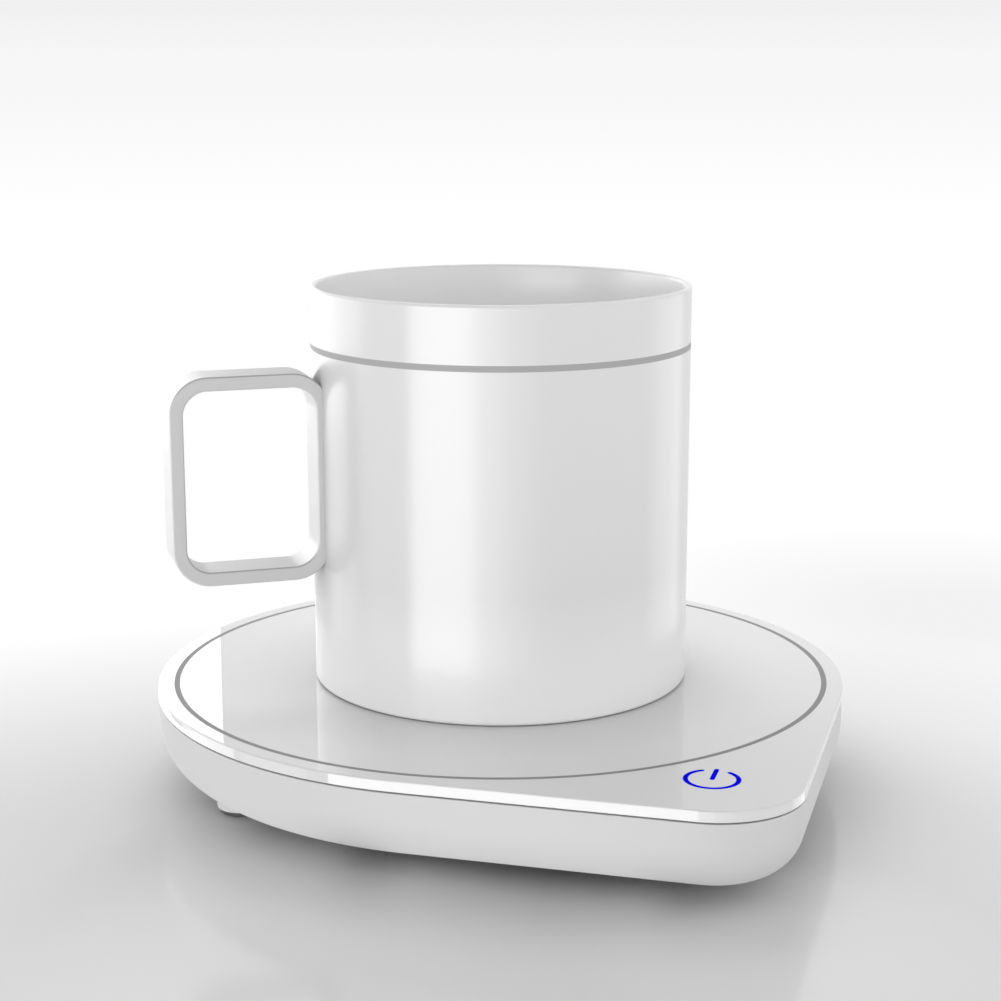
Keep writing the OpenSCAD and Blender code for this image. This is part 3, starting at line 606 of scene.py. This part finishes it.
bm = bmesh.new()
walls(bm, [(0.0, -HANDLE_DEEP / 2), (HANDLE_BAR, -HANDLE_DEEP / 2)], ring_outline)
pull(bm, bm.faces[:], (0, HANDLE_DEEP, 0))
bmesh.ops.recalc_face_normals(bm, faces=bm.faces)
rims = [edge for edge in bm.edges
        if len(edge.link_faces) == 2 and edge.calc_face_angle() > radians(RIM_ANGLE)]
ease(bm, rims, HANDLE_EDGE, steps=4)
bmesh.ops.rotate(bm, cent=(0, 0, 0), matrix=Matrix.Rotation(radians(HANDLE_TURN), 3, "Z"), verts=bm.verts)
handle = solid(bm, "mug_ring_handle")
combine(handle, turned(CORE, steps=MUG_STEPS), "DIFFERENCE")
settle(handle, "mug", ["mug_handle"])

# %% [markdown]
# The rounded rims of the handle that face up, and less so those that face the mug, show as
# fine darker lines, which are painted shade. The mesh stores how much: up to one on the
# corners inside the rounded rims that face up, and zero elsewhere, which the finish reads.
# It also stores how far each face looks up and how far away from the mug, which the finish
# turns into painted shade on the faces that look up and painted light on those that look out.

# %% Painted shade on the handle's rims
MARGIN = 0.01            # millimetres at both ends of a rim that don't count
UP_SHARE, INWARDS_SHARE = 1.5, 0.8

across = Vector((-sin(radians(HANDLE_TURN)), cos(radians(HANDLE_TURN)), 0))
outwards = Vector((cos(radians(HANDLE_TURN)), sin(radians(HANDLE_TURN)), 0))
rim_shade_layer = handle.data.attributes.new("painted_rim_shade", "FLOAT", "POINT")
# Painted shade: how dark each rim corner is drawn.
for corner, stored in zip(handle.data.vertices, rim_shade_layer.data):
    depth = 1000 * abs(corner.co.dot(across))
    rim_darkness = max(0.0, UP_SHARE * corner.normal.z) + max(0.0, -INWARDS_SHARE * corner.normal.dot(outwards))
    on_rim = HANDLE_DEEP / 2 - HANDLE_EDGE + MARGIN < depth < HANDLE_DEEP / 2 - MARGIN
    stored.value = min(1.0, rim_darkness) if on_rim else 0.0
print("corners on rims", sum(stored.value > 0 for stored in rim_shade_layer.data))
# Painted light and shade: how far each face looks up, which gets a darker tone, and out, which gets a lighter
# one.
for name, direction in (("facing_up", Vector((0, 0, 1))), ("facing_out", outwards)):
    looks = handle.data.attributes.new(name, "FLOAT", "FACE")
    for face, stored in zip(handle.data.polygons, looks.data):
        stored.value = max(0.0, face.normal.dot(direction))

# %% [markdown]
# ## Small steps with shader nodes
#
# The finishes, the table and the world are all built from shader nodes, and the same few
# steps come back in each: set a socket or link it, change one range into another, bring two
# values together, or mix. Each gets a function that takes the node tree.

# %% Node steps
def feed(tree, socket, value):
    """Sets a socket to a number, or links it to another node's value."""
    if isinstance(value, bpy.types.NodeSocket):
        tree.links.new(value, socket)
    else:
        socket.default_value = value


def add(tree, kind, **sockets):
    """A new node with some sockets fed by name."""
    node = tree.nodes.new("ShaderNode" + kind)
    for name, value in sockets.items():
        feed(tree, node.inputs[name.replace("_", " ")], value)
    return node


def change(tree, value, low, high, first, last, kind="LINEAR"):
    """Goes from first to last while the value goes from low to high."""
    node = add(tree, "MapRange", Value=value, From_Min=low, From_Max=high, To_Min=first, To_Max=last)
    node.interpolation_type = kind
    return node.outputs["Result"]


def calculate(tree, operation, one, other):
    """Two values brought together."""
    node = tree.nodes.new("ShaderNodeMath")
    node.operation = operation
    feed(tree, node.inputs[0], one)
    feed(tree, node.inputs[1], other)
    return node.outputs["Value"]


def mix(tree, kind, share, one, other):
    """One value or colour, and more of the other as the share grows."""
    node = tree.nodes.new("ShaderNodeMix")
    node.data_type = kind
    for name, value in (("Factor", share), ("A", one), ("B", other)):
        feed(tree, node.inputs[name], value)
    return node.outputs["Result"]


def mix_shaders(tree, share, one, other):
    """One shader, and more of the other as the share grows."""
    node = add(tree, "MixShader", Fac=share)
    tree.links.new(one, node.inputs[1])
    tree.links.new(other, node.inputs[2])
    return node.outputs["Shader"]


def height(tree, space):
    """The Z of a place in the given space."""
    split = add(tree, "SeparateXYZ", Vector=tree.nodes.new("ShaderNodeTexCoord").outputs[space])
    return split.outputs["Z"]


# %% [markdown]
# A group is started from the names and kinds of its sockets, and a material for the table or
# a screen starts with nothing but its output.

# %% Groups and materials
def node_group(name, inputs, outputs):
    """A node group with its sockets, what it is given, and its output node."""
    group = bpy.data.node_groups.new(name, "ShaderNodeTree")
    for direction, sockets in (("INPUT", inputs), ("OUTPUT", outputs)):
        for socket, kind in sockets.items():
            group.interface.new_socket(socket, in_out=direction, socket_type="NodeSocket" + kind)
    return group, group.nodes.new("NodeGroupInput").outputs, group.nodes.new("NodeGroupOutput")


def bare_material(name):
    """A material that has no shader yet."""
    material = bpy.data.materials.new(name)
    material.use_nodes = True
    material.node_tree.nodes.remove(material.node_tree.nodes["Principled BSDF"])
    return material


def show(material, shader):
    """Puts a shader out as the material's surface."""
    tree = material.node_tree
    tree.links.new(shader, tree.nodes["Material Output"].inputs["Surface"])


# %% [markdown]
# ## One group for fine surfaces
#
# No real surface is one even colour: paint and plastic drift a little in tone, gloss varies
# where hands and moulds have been, and there is a fine relief. One node group gives all three
# from noise on the object's own coordinates. It puts out a colour, a roughness and a height;
# each material places it with its own values and keeps its own shader.

# %% Surface group
FINE, given, result = node_group(
    "fine_surface",
    {"Grain": "Float", "Patches": "Float", "Stretch": "Vector", "Tone": "Color", "Second Tone": "Color",
     "Gloss": "Float", "Second Gloss": "Float"},
    {"Tone": "Color", "Roughness": "Float", "Height": "Float"})
stretch = FINE.nodes.new("ShaderNodeVectorMath")
stretch.operation = "MULTIPLY"
feed(FINE, stretch.inputs[0], FINE.nodes.new("ShaderNodeTexCoord").outputs["Object"])
feed(FINE, stretch.inputs[1], given["Stretch"])
fine = add(FINE, "TexNoise", Vector=stretch.outputs[0], Scale=given["Grain"], Detail=3.0)
broad = add(FINE, "TexNoise", Vector=stretch.outputs[0], Scale=given["Patches"], Detail=2.0)
tone = mix(FINE, "RGBA", broad.outputs["Fac"], given["Tone"], given["Second Tone"])
gloss = mix(FINE, "FLOAT", fine.outputs["Fac"], given["Gloss"], given["Second Gloss"])
for name, value in (("Tone", tone), ("Roughness", gloss), ("Height", fine.outputs["Fac"])):
    feed(FINE, result.inputs[name], value)
print("the fine surface has", len(FINE.nodes), "nodes")


def finish(name, tone, second, gloss, grain=2500, patches=60, relief=0.004, stretch=(1, 1, 1), **sockets):
    """A material with the fine surface, its relief in millimetres; more sockets are set by name."""
    material = bpy.data.materials.new(name)
    material.use_nodes = True
    tree = material.node_tree
    shader = tree.nodes["Principled BSDF"]
    surface = tree.nodes.new("ShaderNodeGroup")
    surface.node_tree = FINE
    surface.name = "surface"
    for socket, value in {"Grain": grain, "Patches": patches, "Stretch": stretch, "Tone": (*tone, 1),
                          "Second Tone": (*second, 1), "Gloss": gloss[0], "Second Gloss": gloss[1]}.items():
        surface.inputs[socket].default_value = value
    bump = add(tree, "Bump", Distance=MM * relief, Height=surface.outputs["Height"])
    bump.name = "relief"
    tree.links.new(surface.outputs["Tone"], shader.inputs["Base Color"])
    tree.links.new(surface.outputs["Roughness"], shader.inputs["Roughness"])
    tree.links.new(bump.outputs["Normal"], shader.inputs["Normal"])
    for socket, value in sockets.items():
        shader.inputs[socket.replace("_", " ").title().replace("Ior", "IOR")].default_value = value
    return material


def grey(value, warm=0.0):
    """A linear grey, a touch warmer or cooler."""
    return (value * (1 + warm), value, value * (1 - warm))


def paint(piece, material):
    """Gives a piece its only material."""
    piece.data.materials.clear()
    piece.data.materials.append(material)


# %% [markdown]
# ## Groups for zones
#
# Some faces get a tone of their own: the ground edge of the glass, which is partly its own
# ground white and partly a painted highlight; the mug's bare foot; painted light on the mug's
# lower part and inside; and painted shade in the places close to another piece, where less
# light arrives. One group mixes the tone, one puts out a mask below a height, and one a mask
# for nearness, which only the painted shade uses.

# %% Zone groups
def by_height(group, given, first, last):
    """Goes from first to last between the group's Low and High sockets."""
    return change(group, height(group, "Object"), given["Low"], given["High"], first, last)


ZONE_TONE, given, result = node_group(
    "zone_tone", {"Tone": "Color", "Zone Tone": "Color", "Mask": "Float"}, {"Tone": "Color"})
tone = mix(ZONE_TONE, "RGBA", given["Mask"], given["Tone"], given["Zone Tone"])
feed(ZONE_TONE, result.inputs["Tone"], tone)

BELOW, given, result = node_group("below_height", {"Low": "Float", "High": "Float"}, {"Mask": "Float"})
feed(BELOW, result.inputs["Mask"], by_height(BELOW, given, 1.0, 0.0))

# A mask for painted shade: one where little is open around a face within the reach, above a height.
PAINTED_SHADE_NEAR, given, result = node_group(
    "painted_shade_close_above", {"Reach": "Float", "Low": "Float", "High": "Float"}, {"Mask": "Float"})
openness = add(PAINTED_SHADE_NEAR, "AmbientOcclusion", Distance=given["Reach"]).outputs["AO"]
most = by_height(PAINTED_SHADE_NEAR, given, 0.0, 1.0)
feed(PAINTED_SHADE_NEAR, result.inputs["Mask"], change(PAINTED_SHADE_NEAR, openness, low=1.0, high=0.0, first=0.0, last=most))
print("node groups:", [group.name for group in bpy.data.node_groups])


def second_tone(material, tone, mask):
    """Mixes another tone into the material where the mask is one."""
    tree = material.node_tree
    base = tree.nodes["Principled BSDF"].inputs["Base Color"]
    blend = tree.nodes.new("ShaderNodeGroup")
    blend.node_tree = ZONE_TONE
    blend.inputs["Zone Tone"].default_value = (*tone, 1)
    tree.links.new(base.links[0].from_socket, blend.inputs["Tone"])
    tree.links.new(mask, blend.inputs["Mask"])
    tree.links.new(blend.outputs["Tone"], base)


def masked(material, group, **sockets):
    """The mask that a group puts out with these values."""
    node = material.node_tree.nodes.new("ShaderNodeGroup")
    node.node_tree = group
    for socket, value in sockets.items():
        node.inputs[socket.title()].default_value = value
    return node.outputs["Mask"]


def by_attribute(material, name):
    """A mask that the mesh itself stores."""
    attribute = material.node_tree.nodes.new("ShaderNodeAttribute")
    attribute.attribute_name = name
    return attribute.outputs["Fac"]


# %% [markdown]
# ## Finishes that show
#
# The housing is matte moulded plastic, the glass is white paint behind a glossy plate, the
# mug is satin glaze. All three are white, so they part by gloss and by how light their tone
# is: paint behind glass loses light at the surface and is the darker white from above, while
# the ground edge of the plate is the lighter one, partly its own ground white and partly a
# painted highlight.
#
# The zones come last, with heights and reaches in metres: the plate's ground edge, partly a
# painted highlight; painted shade on the glass close to the mug; painted light on the mug's
# lower part; painted shade on its wall close to the handle; painted light on its inside; its
# bare foot; and on the handle painted shade on the faces that look up and on its rims that
# face up, and painted light on the faces that look out.

# %% White finishes
housing_white = finish("moulded_white", grey(0.70), grey(0.72), (0.54, 0.60), grain=3200, patches=25,
                       relief=0.001, specular_ior_level=0.2)
mug_white = finish("satin_glaze", grey(0.745), grey(0.755), (0.21, 0.24), grain=60, patches=25, relief=0.0)
# Painted shade: the handle has the mug's glaze with a darker tone, for the less light that reaches its faces.
handle_shaded_white = finish("satin_glaze_handle_shaded", grey(0.61), grey(0.62), (0.36, 0.40), grain=60, patches=25,
                      relief=0.0, specular_ior_level=0.25)
glass_white = finish("painted_glass", grey(0.70), grey(0.71), (0.01, 0.02), grain=60, patches=20, relief=0.0)
whites = [(housing, housing_white), (mug, mug_white), (handle, handle_shaded_white), (glass, glass_white)]
for piece, material in whites:
    paint(piece, material)
print("painted white:", [piece.name for piece, material in whites])

BARE_CLAY = (0.56, 0.53, 0.48)
# The plate's ground edge gets a lighter tone: partly its own ground white, partly a painted highlight.
second_tone(glass_white, grey(0.80), masked(glass_white, BELOW, low=0.01970, high=0.01972))
# Painted shade: the glass is darker close to the mug, where the mug shades it.
second_tone(glass_white, grey(0.46), masked(glass_white, PAINTED_SHADE_NEAR, reach=0.020, low=0.0195, high=0.0197))
# Painted light: the mug's lower part gets a lighter tone, standing in for light from below.
second_tone(mug_white, grey(0.91), masked(mug_white, BELOW, low=0.021, high=0.045))
# Painted shade: the mug's wall is darker close to the handle and other nearby faces.
second_tone(mug_white, grey(0.30), masked(mug_white, PAINTED_SHADE_NEAR, reach=0.007, low=0.030, high=0.034))
# Painted light: the mug's inside gets a lighter tone.
second_tone(mug_white, grey(0.85), by_attribute(mug_white, "inside_painted_light"))
second_tone(mug_white, BARE_CLAY, masked(mug_white, BELOW, low=0.02006, high=0.02016))
# Painted shade on the handle's faces that look up, painted light on those that look out.
second_tone(handle_shaded_white, grey(0.50), by_attribute(handle_shaded_white, "facing_up"))
second_tone(handle_shaded_white, grey(0.90), by_attribute(handle_shaded_white, "facing_out"))
# Painted shade: the handle's rims that face up get a darker tone.
second_tone(handle_shaded_white, grey(0.36), by_attribute(handle_shaded_white, "painted_rim_shade"))

# %% [markdown]
# The printed ring and the line on the mug are the same light grey. The power mark is lit from
# below, so it has a little light of its own. The seam and the pads are dark rubber, the
# socket is black moulded plastic, its pin plated metal.

# %% Small finishes
MATTE = (0.5, 0.6)
RUBBER = (0.6, 0.75)
small = [
    (ring, finish("ring_print", grey(0.26), grey(0.28), MATTE, relief=0.0, specular_ior_level=0.1)),
    (band, finish("line_print", grey(0.40), grey(0.42), MATTE, grain=900, relief=0.0,
                  specular_ior_level=0.2)),
    (mark, finish("lit_mark", (0.003, 0.003, 0.62), (0.003, 0.004, 0.68), MATTE, grain=150, relief=0.0,
                  specular_ior_level=0.0, emission_color=(0.002, 0.002, 0.9, 1), emission_strength=0.2)),
    (gasket, finish("gasket_rubber", grey(0.10), grey(0.12), RUBBER, grain=4000, relief=0.01)),
    (pads, finish("pad_rubber", grey(0.025), grey(0.035), RUBBER, grain=5000, relief=0.015)),
    (socket, finish("socket_plastic", grey(0.015), grey(0.02), (0.35, 0.45), grain=4000, relief=0.006)),
    (pin, finish("plated_pin", (0.75, 0.72, 0.66), (0.70, 0.67, 0.60), (0.2, 0.3), grain=3000, metallic=1.0)),
]
for piece, material in small:
    paint(piece, material)
print("painted:", [piece.name for piece, material in small])

# %% [markdown]
# ## Finishes inside
#
# The pieces under the glass keep the solids' shapes. They still get the look of what they
# are: filled nylon, rolled aluminium, amber film with an etched track, fibre felt, plated
# steel, a green board and its parts, and soft insulated leads.

# %% Inner finishes
inner = {
    "top_frame": finish("filled_nylon", grey(0.50), grey(0.56), (0.5, 0.65), grain=3500, relief=0.012),
    "heat_spreader": finish("rolled_aluminium", grey(0.80), grey(0.86), (0.22, 0.42), grain=900, patches=200,
                            stretch=(0.06, 1, 1), metallic=1.0),
    "heater_film": finish("amber_film", (0.50, 0.17, 0.015), (0.56, 0.20, 0.02), (0.2, 0.3), grain=700,
                          relief=0.003),
    "heating_track": finish("etched_track", (0.52, 0.44, 0.36), (0.60, 0.50, 0.40), (0.25, 0.4),
                            metallic=1.0),
    "insulation_pad": finish("fibre_felt", grey(0.78, 0.01), grey(0.62, 0.02), (0.9, 1.0), grain=1800,
                             patches=900, relief=0.25, stretch=(1, 1, 4), sheen_weight=0.4),
    "pressure_plate": finish("plated_steel", grey(0.55, 0.02), grey(0.68, -0.02), (0.25, 0.45), grain=500,
                             patches=350, metallic=1.0),
    "temperature_sensor": finish("sensor_resin", (0.30, 0.08, 0.03), (0.36, 0.10, 0.04), (0.2, 0.3)),
    "thermal_fuse": finish("fuse_ceramic", grey(0.66, 0.03), grey(0.72, 0.02), MATTE, relief=0.01),
    "main_board": finish("board_mask", (0.01, 0.13, 0.045), (0.015, 0.16, 0.055), (0.25, 0.4), grain=1200,
                         relief=0.006),
    "microcontroller": finish("chip_body", grey(0.018), grey(0.028), (0.45, 0.6), grain=6000, relief=0.01),
    "filter_capacitor": finish("can_sleeve", grey(0.03), grey(0.05), (0.25, 0.35)),
    "heater_connector": finish("plug_nylon", (0.70, 0.64, 0.50), (0.74, 0.68, 0.54), (0.4, 0.5),
                               relief=0.006),
    "heater_leads": finish("red_lead", (0.50, 0.02, 0.015), (0.56, 0.03, 0.02), (0.4, 0.5), relief=0.01),
    "sensor_leads": finish("yellow_lead", (0.66, 0.46, 0.04), (0.72, 0.50, 0.05), (0.4, 0.5), relief=0.01),
    "touch_cable": finish("grey_cable", grey(0.26), grey(0.30), (0.45, 0.55), relief=0.01,
                          stretch=(1, 0.2, 1)),
    "touch_spring": finish("spring_steel", grey(0.50), grey(0.58), (0.2, 0.32), metallic=1.0),
    "indicator_led": finish("lamp_body", grey(0.74, 0.02), grey(0.78, 0.02), (0.25, 0.35)),
    "light_guide": finish("clear_guide", grey(0.82), grey(0.86), (0.08, 0.15), relief=0.0,
                          transmission_weight=0.6),
    "housing_screws": finish("screw_steel", grey(0.42), grey(0.52), (0.25, 0.4), metallic=1.0),
}
shared = {
    "main_board": ["touch_board"],
    "microcontroller": ["power_transistor", "voltage_regulator", "filter_choke"],
    "heater_connector": ["sensor_connector", "touch_connectors"],
    "housing_screws": ["clamp_screws", "board_screws", "touch_screws"],
}
dressed = 0
for first, material in inner.items():
    for node in [first] + shared.get(first, []):
        for holder in frame["nodes"][node].material_slots:
            holder.material = material
        dressed += 1
print("dressed", dressed, "inner nodes")

# %% [markdown]
# ## The table
#
# The object stands on a white table that fades into a white background, a little grey near
# the object. The table is one large plane, plain diffuse near the object so that it takes the
# shadows, and more and more lit by itself with distance, so that the fade doesn't depend on
# how far the lamps reach. The shade where the base comes close to the table is deepened, by
# another amount at a few spots. In front of the base a soft gloss carries a faint image of
# the housing, as a coated table does. Each change over the table is written as a place, two
# distances from it and the values there, all in metres.

# %% Table
TABLE_HALF = 1500        # half the inner square's side, in millimetres
TABLE_RINGS = (8, 40)    # how many times larger each further square is
MIDDLE = (0.03, -0.15)
OWN_LIGHT = (MIDDLE, 0.12, 0.27, 0.80, 1.0)
OWN_LIGHT_SHARE = (MIDDLE, 0.12, 0.26, 0.0, 1.0)
# Painted shadow: the table's own light is dimmer behind the object on the right.
OWN_LIGHT_PAINTED_SHADOW = ((0.085, 0.145), 0.02, 0.10, 0.89, 1.0)     # behind the object on the right
# Painted light: the table's tone is paler close to the square corner, to lighten the shade there.
TONE_WITH_PAINTED_CORNER_LIGHT = ((0.069, -0.073), 0.010, 0.038, 0.79, 0.71)           # paler at the square corner
POLISH = ((0.045, -0.095), 0.06, 0.11, 0.26, 0.0)
POLISH_ROUGHNESS = 0.13
SHADE_REACH = 0.06
SHADE_DEPTH = 0.24       # the power of the shade; each spot adds to it
SHADE_SPOTS = [
    ((0.070, -0.058), 0.012, 0.045, -0.20, 0.0),
    ((0.078, 0.022), 0.020, 0.070, 0.38, 0.0),
    ((-0.004, -0.075), 0.010, 0.032, -0.14, 0.0),
    ((0.026, -0.059), 0.010, 0.030, 0.14, 0.0),
]
FAR = 0.65               # one over the distance from which the table fades to the wall's tone
WALL_TONE = 0.925

bm = bmesh.new()
bmesh.ops.create_grid(bm, x_segments=1, y_segments=1, size=TABLE_HALF)
for times in TABLE_RINGS:
    rim = [edge for edge in bm.edges if edge.is_boundary]
    pulled = bmesh.ops.extrude_edge_only(bm, edges=rim)["geom"]
    bmesh.ops.scale(bm, vec=(times, times, 1), verts=corners(pulled))
table = solid(bm, "table")
table.visible_glossy = False


def reach_from(tree, place):
    """The distance from a place on the table."""
    reach = tree.nodes.new("ShaderNodeVectorMath")
    reach.operation = "DISTANCE"
    feed(tree, reach.inputs[0], tree.nodes.new("ShaderNodeTexCoord").outputs["Object"])
    feed(tree, reach.inputs[1], (*place, 0.0))
    return reach.outputs["Value"]


def around(tree, place, near, far, first, last):
    """Goes from first to last between two distances from a place."""
    return change(tree, reach_from(tree, place), near, far, first, last)


material = bare_material("table_white")
tree = material.node_tree
depth = SHADE_DEPTH
for spot in SHADE_SPOTS:
    depth = calculate(tree, "ADD", depth, around(tree, *spot))
openness = add(tree, "AmbientOcclusion", Distance=SHADE_REACH)
openness.samples = 16
shade = calculate(tree, "POWER", openness.outputs["AO"], depth)
dull = add(tree, "BsdfDiffuse", Color=calculate(tree, "MULTIPLY", shade, around(tree, *TONE_WITH_PAINTED_CORNER_LIGHT)))
per_metre = calculate(tree, "DIVIDE", 1.0, reach_from(tree, MIDDLE))
fade = change(tree, per_metre, low=0.0, high=FAR, first=WALL_TONE, last=1.0, kind="SMOOTHSTEP")
light = calculate(tree, "MULTIPLY", around(tree, *OWN_LIGHT), fade)
glow = add(tree, "Emission", Strength=calculate(tree, "MULTIPLY", light, around(tree, *OWN_LIGHT_PAINTED_SHADOW)))
gloss = add(tree, "BsdfGlossy", Roughness=POLISH_ROUGHNESS)
surface = mix_shaders(tree, around(tree, *OWN_LIGHT_SHARE), dull.outputs["BSDF"], glow.outputs["Emission"])
show(material, mix_shaders(tree, around(tree, *POLISH), surface, gloss.outputs["BSDF"]))
paint(table, material)
print("the table's material has", len(tree.nodes), "nodes")

# %% [markdown]
# ## The light
#
# A white room lights the object from all round, so the world does most of the work. The
# camera sees it as a pale wall that turns a little greyer upwards. Gloss sees it darker below
# the horizon, which parts the upright faces from those that look up.

# %% World
ROOM_LIGHT = 0.62

world = bpy.data.worlds.new("white_room")
bpy.context.scene.world = world
world.use_nodes = True
tree = world.node_tree
tree.nodes.clear()
path = tree.nodes.new("ShaderNodeLightPath").outputs
looked_at = calculate(tree, "MAXIMUM", path["Is Camera Ray"], path["Is Glossy Ray"])
looked_at = calculate(tree, "MAXIMUM", looked_at, path["Is Transmission Ray"])
up = height(tree, "Generated")
to_gloss = change(tree, up, low=-0.03, high=0.08, first=0.87, last=1.05)
to_camera = change(tree, up, low=0.0, high=0.03, first=WALL_TONE, last=0.86)
strength = mix(tree, "FLOAT", path["Is Camera Ray"], to_gloss, to_camera)
room_light = add(tree, "Background", Color=(1, 1, 1, 1), Strength=ROOM_LIGHT)
room_seen = add(tree, "Background", Color=(1, 1, 1, 1), Strength=strength)
room = mix_shaders(tree, looked_at, room_light.outputs["Background"], room_seen.outputs["Background"])
tree.links.new(room, tree.nodes.new("ShaderNodeOutputWorld").inputs["Surface"])
print("the world has", len(tree.nodes), "nodes")

# %% [markdown]
# ## The screens
#
# The bright streaks on the mug and the pale patch on the glass are images of studio screens.
# Each screen is a flat upright plane that glows, with straight ends, because the patch on
# the glass and the streak on its edge end sharply. Only the gloss of the object's own pieces
# sees the screens, so the table keeps its even tone.
#
# The screens stand in a row round the left and the front, so most of them share their ends
# with the next. Places and heights are in millimetres, and a screen may reach below the
# table, which only its image in the gloss shows.

# %% Screens
object_pieces = bpy.data.collections.new("object_pieces")
for piece in bpy.context.scene.objects:
    if piece.type == "MESH" and piece != table:
        object_pieces.objects.link(piece)

LEFT_BACK, LEFT_BEND, LEFT_NEAR, LEFT_END = (-289.4, 522.7), (-424, 114), (-519, -175), (-370, -370)
LEFT_LOW, LEFT_MIDDLE = (-506.2, -136), (-494, -100)
FRONT_START, FRONT_BEND, FRONT_RIGHT, FRONT_END = (-311, -406), (10, -518), (160, -493), (290, -420)
RIGHT_NEAR, RIGHT_BACK = (453, 211), (250, 433)


def screen(name, start, end, low, high, strength):
    """A flat upright screen between two places on the table's plane, that only gloss sees."""
    bm = bmesh.new()
    stroke(bm, dot(bm, *start, low), *end, low)
    made = bmesh.ops.extrude_edge_only(bm, edges=bm.edges[:])["geom"]
    bmesh.ops.translate(bm, vec=(0, 0, high - low), verts=corners(made))
    piece = solid(bm, name)
    piece.visible_camera = piece.visible_diffuse = piece.visible_shadow = piece.visible_transmission = False
    piece.light_linking.receiver_collection = object_pieces
    material = bare_material(name)
    show(material, add(material.node_tree, "Emission", Strength=strength).outputs["Emission"])
    paint(piece, material)


screen("screen_left", LEFT_BACK, LEFT_BEND, low=5, high=245, strength=3.3)
screen("screen_left_near", LEFT_BEND, LEFT_NEAR, low=0, high=245, strength=4.0)
screen("screen_left_side", LEFT_NEAR, LEFT_END, low=-190, high=170, strength=1.8)
screen("screen_left_low", LEFT_BACK, LEFT_LOW, low=-190, high=-115, strength=3.4)
screen("screen_front", FRONT_START, FRONT_BEND, low=-260, high=170, strength=6.8)
screen("screen_left_middle", LEFT_BEND, LEFT_MIDDLE, low=-115, high=0, strength=1.9)
screen("screen_front_far", FRONT_RIGHT, FRONT_END, low=-260, high=60, strength=1.9)
screen("screen_front_side", FRONT_BEND, FRONT_RIGHT, low=-260, high=110, strength=3.5)
screen("screen_right", RIGHT_NEAR, RIGHT_BACK, low=-190, high=60, strength=1.9)

# %% [markdown]
# ## The lamps
#
# Four soft square lamps shape the shadows. The strongest stands behind, so the shade under
# the base falls towards the front. Two small cards under the base send a little light into
# the gap below it, as the bright table of a studio does.

# %% Lamps
def lamp(name, place, size, power, towards=(0, 0, 0.04)):
    """A soft square lamp that looks at the object and isn't seen in its gloss."""
    light = bpy.data.lights.new(name, "AREA")
    light.shape = "SQUARE"
    light.size = size
    light.energy = power
    holder = bpy.data.objects.new(name, light)
    holder.location = place
    holder.rotation_euler = (Vector(towards) - Vector(place)).to_track_quat("-Z", "Y").to_euler()
    holder.visible_camera = holder.visible_glossy = False
    bpy.context.scene.collection.objects.link(holder)


lamp("lamp_back", (-0.30, 0.80, 0.90), size=0.7, power=4.0)
lamp("lamp_left", (-0.73, 0.51, 0.69), size=0.7, power=2.8)
lamp("lamp_front", (0.1, -1.1, 0.12), size=0.6, power=3.7)
lamp("lamp_right", (0.86, 0.40, 0.56), size=0.6, power=1.8)
for name, x, y in (("card_left", -0.040, -0.069), ("card_front", 0.021, -0.077)):
    lamp(name, (x, y, 0.001), size=0.05, power=0.0024, towards=(x, y, 1.0))
print("lamps:", [light.name for light in bpy.data.lights])

# %% [markdown]
# ## The last settings
#
# The picture is shown with the plain Standard transform, so a colour comes out as written.

# %% Finish
bpy.context.scene.view_settings.view_transform = "Standard"
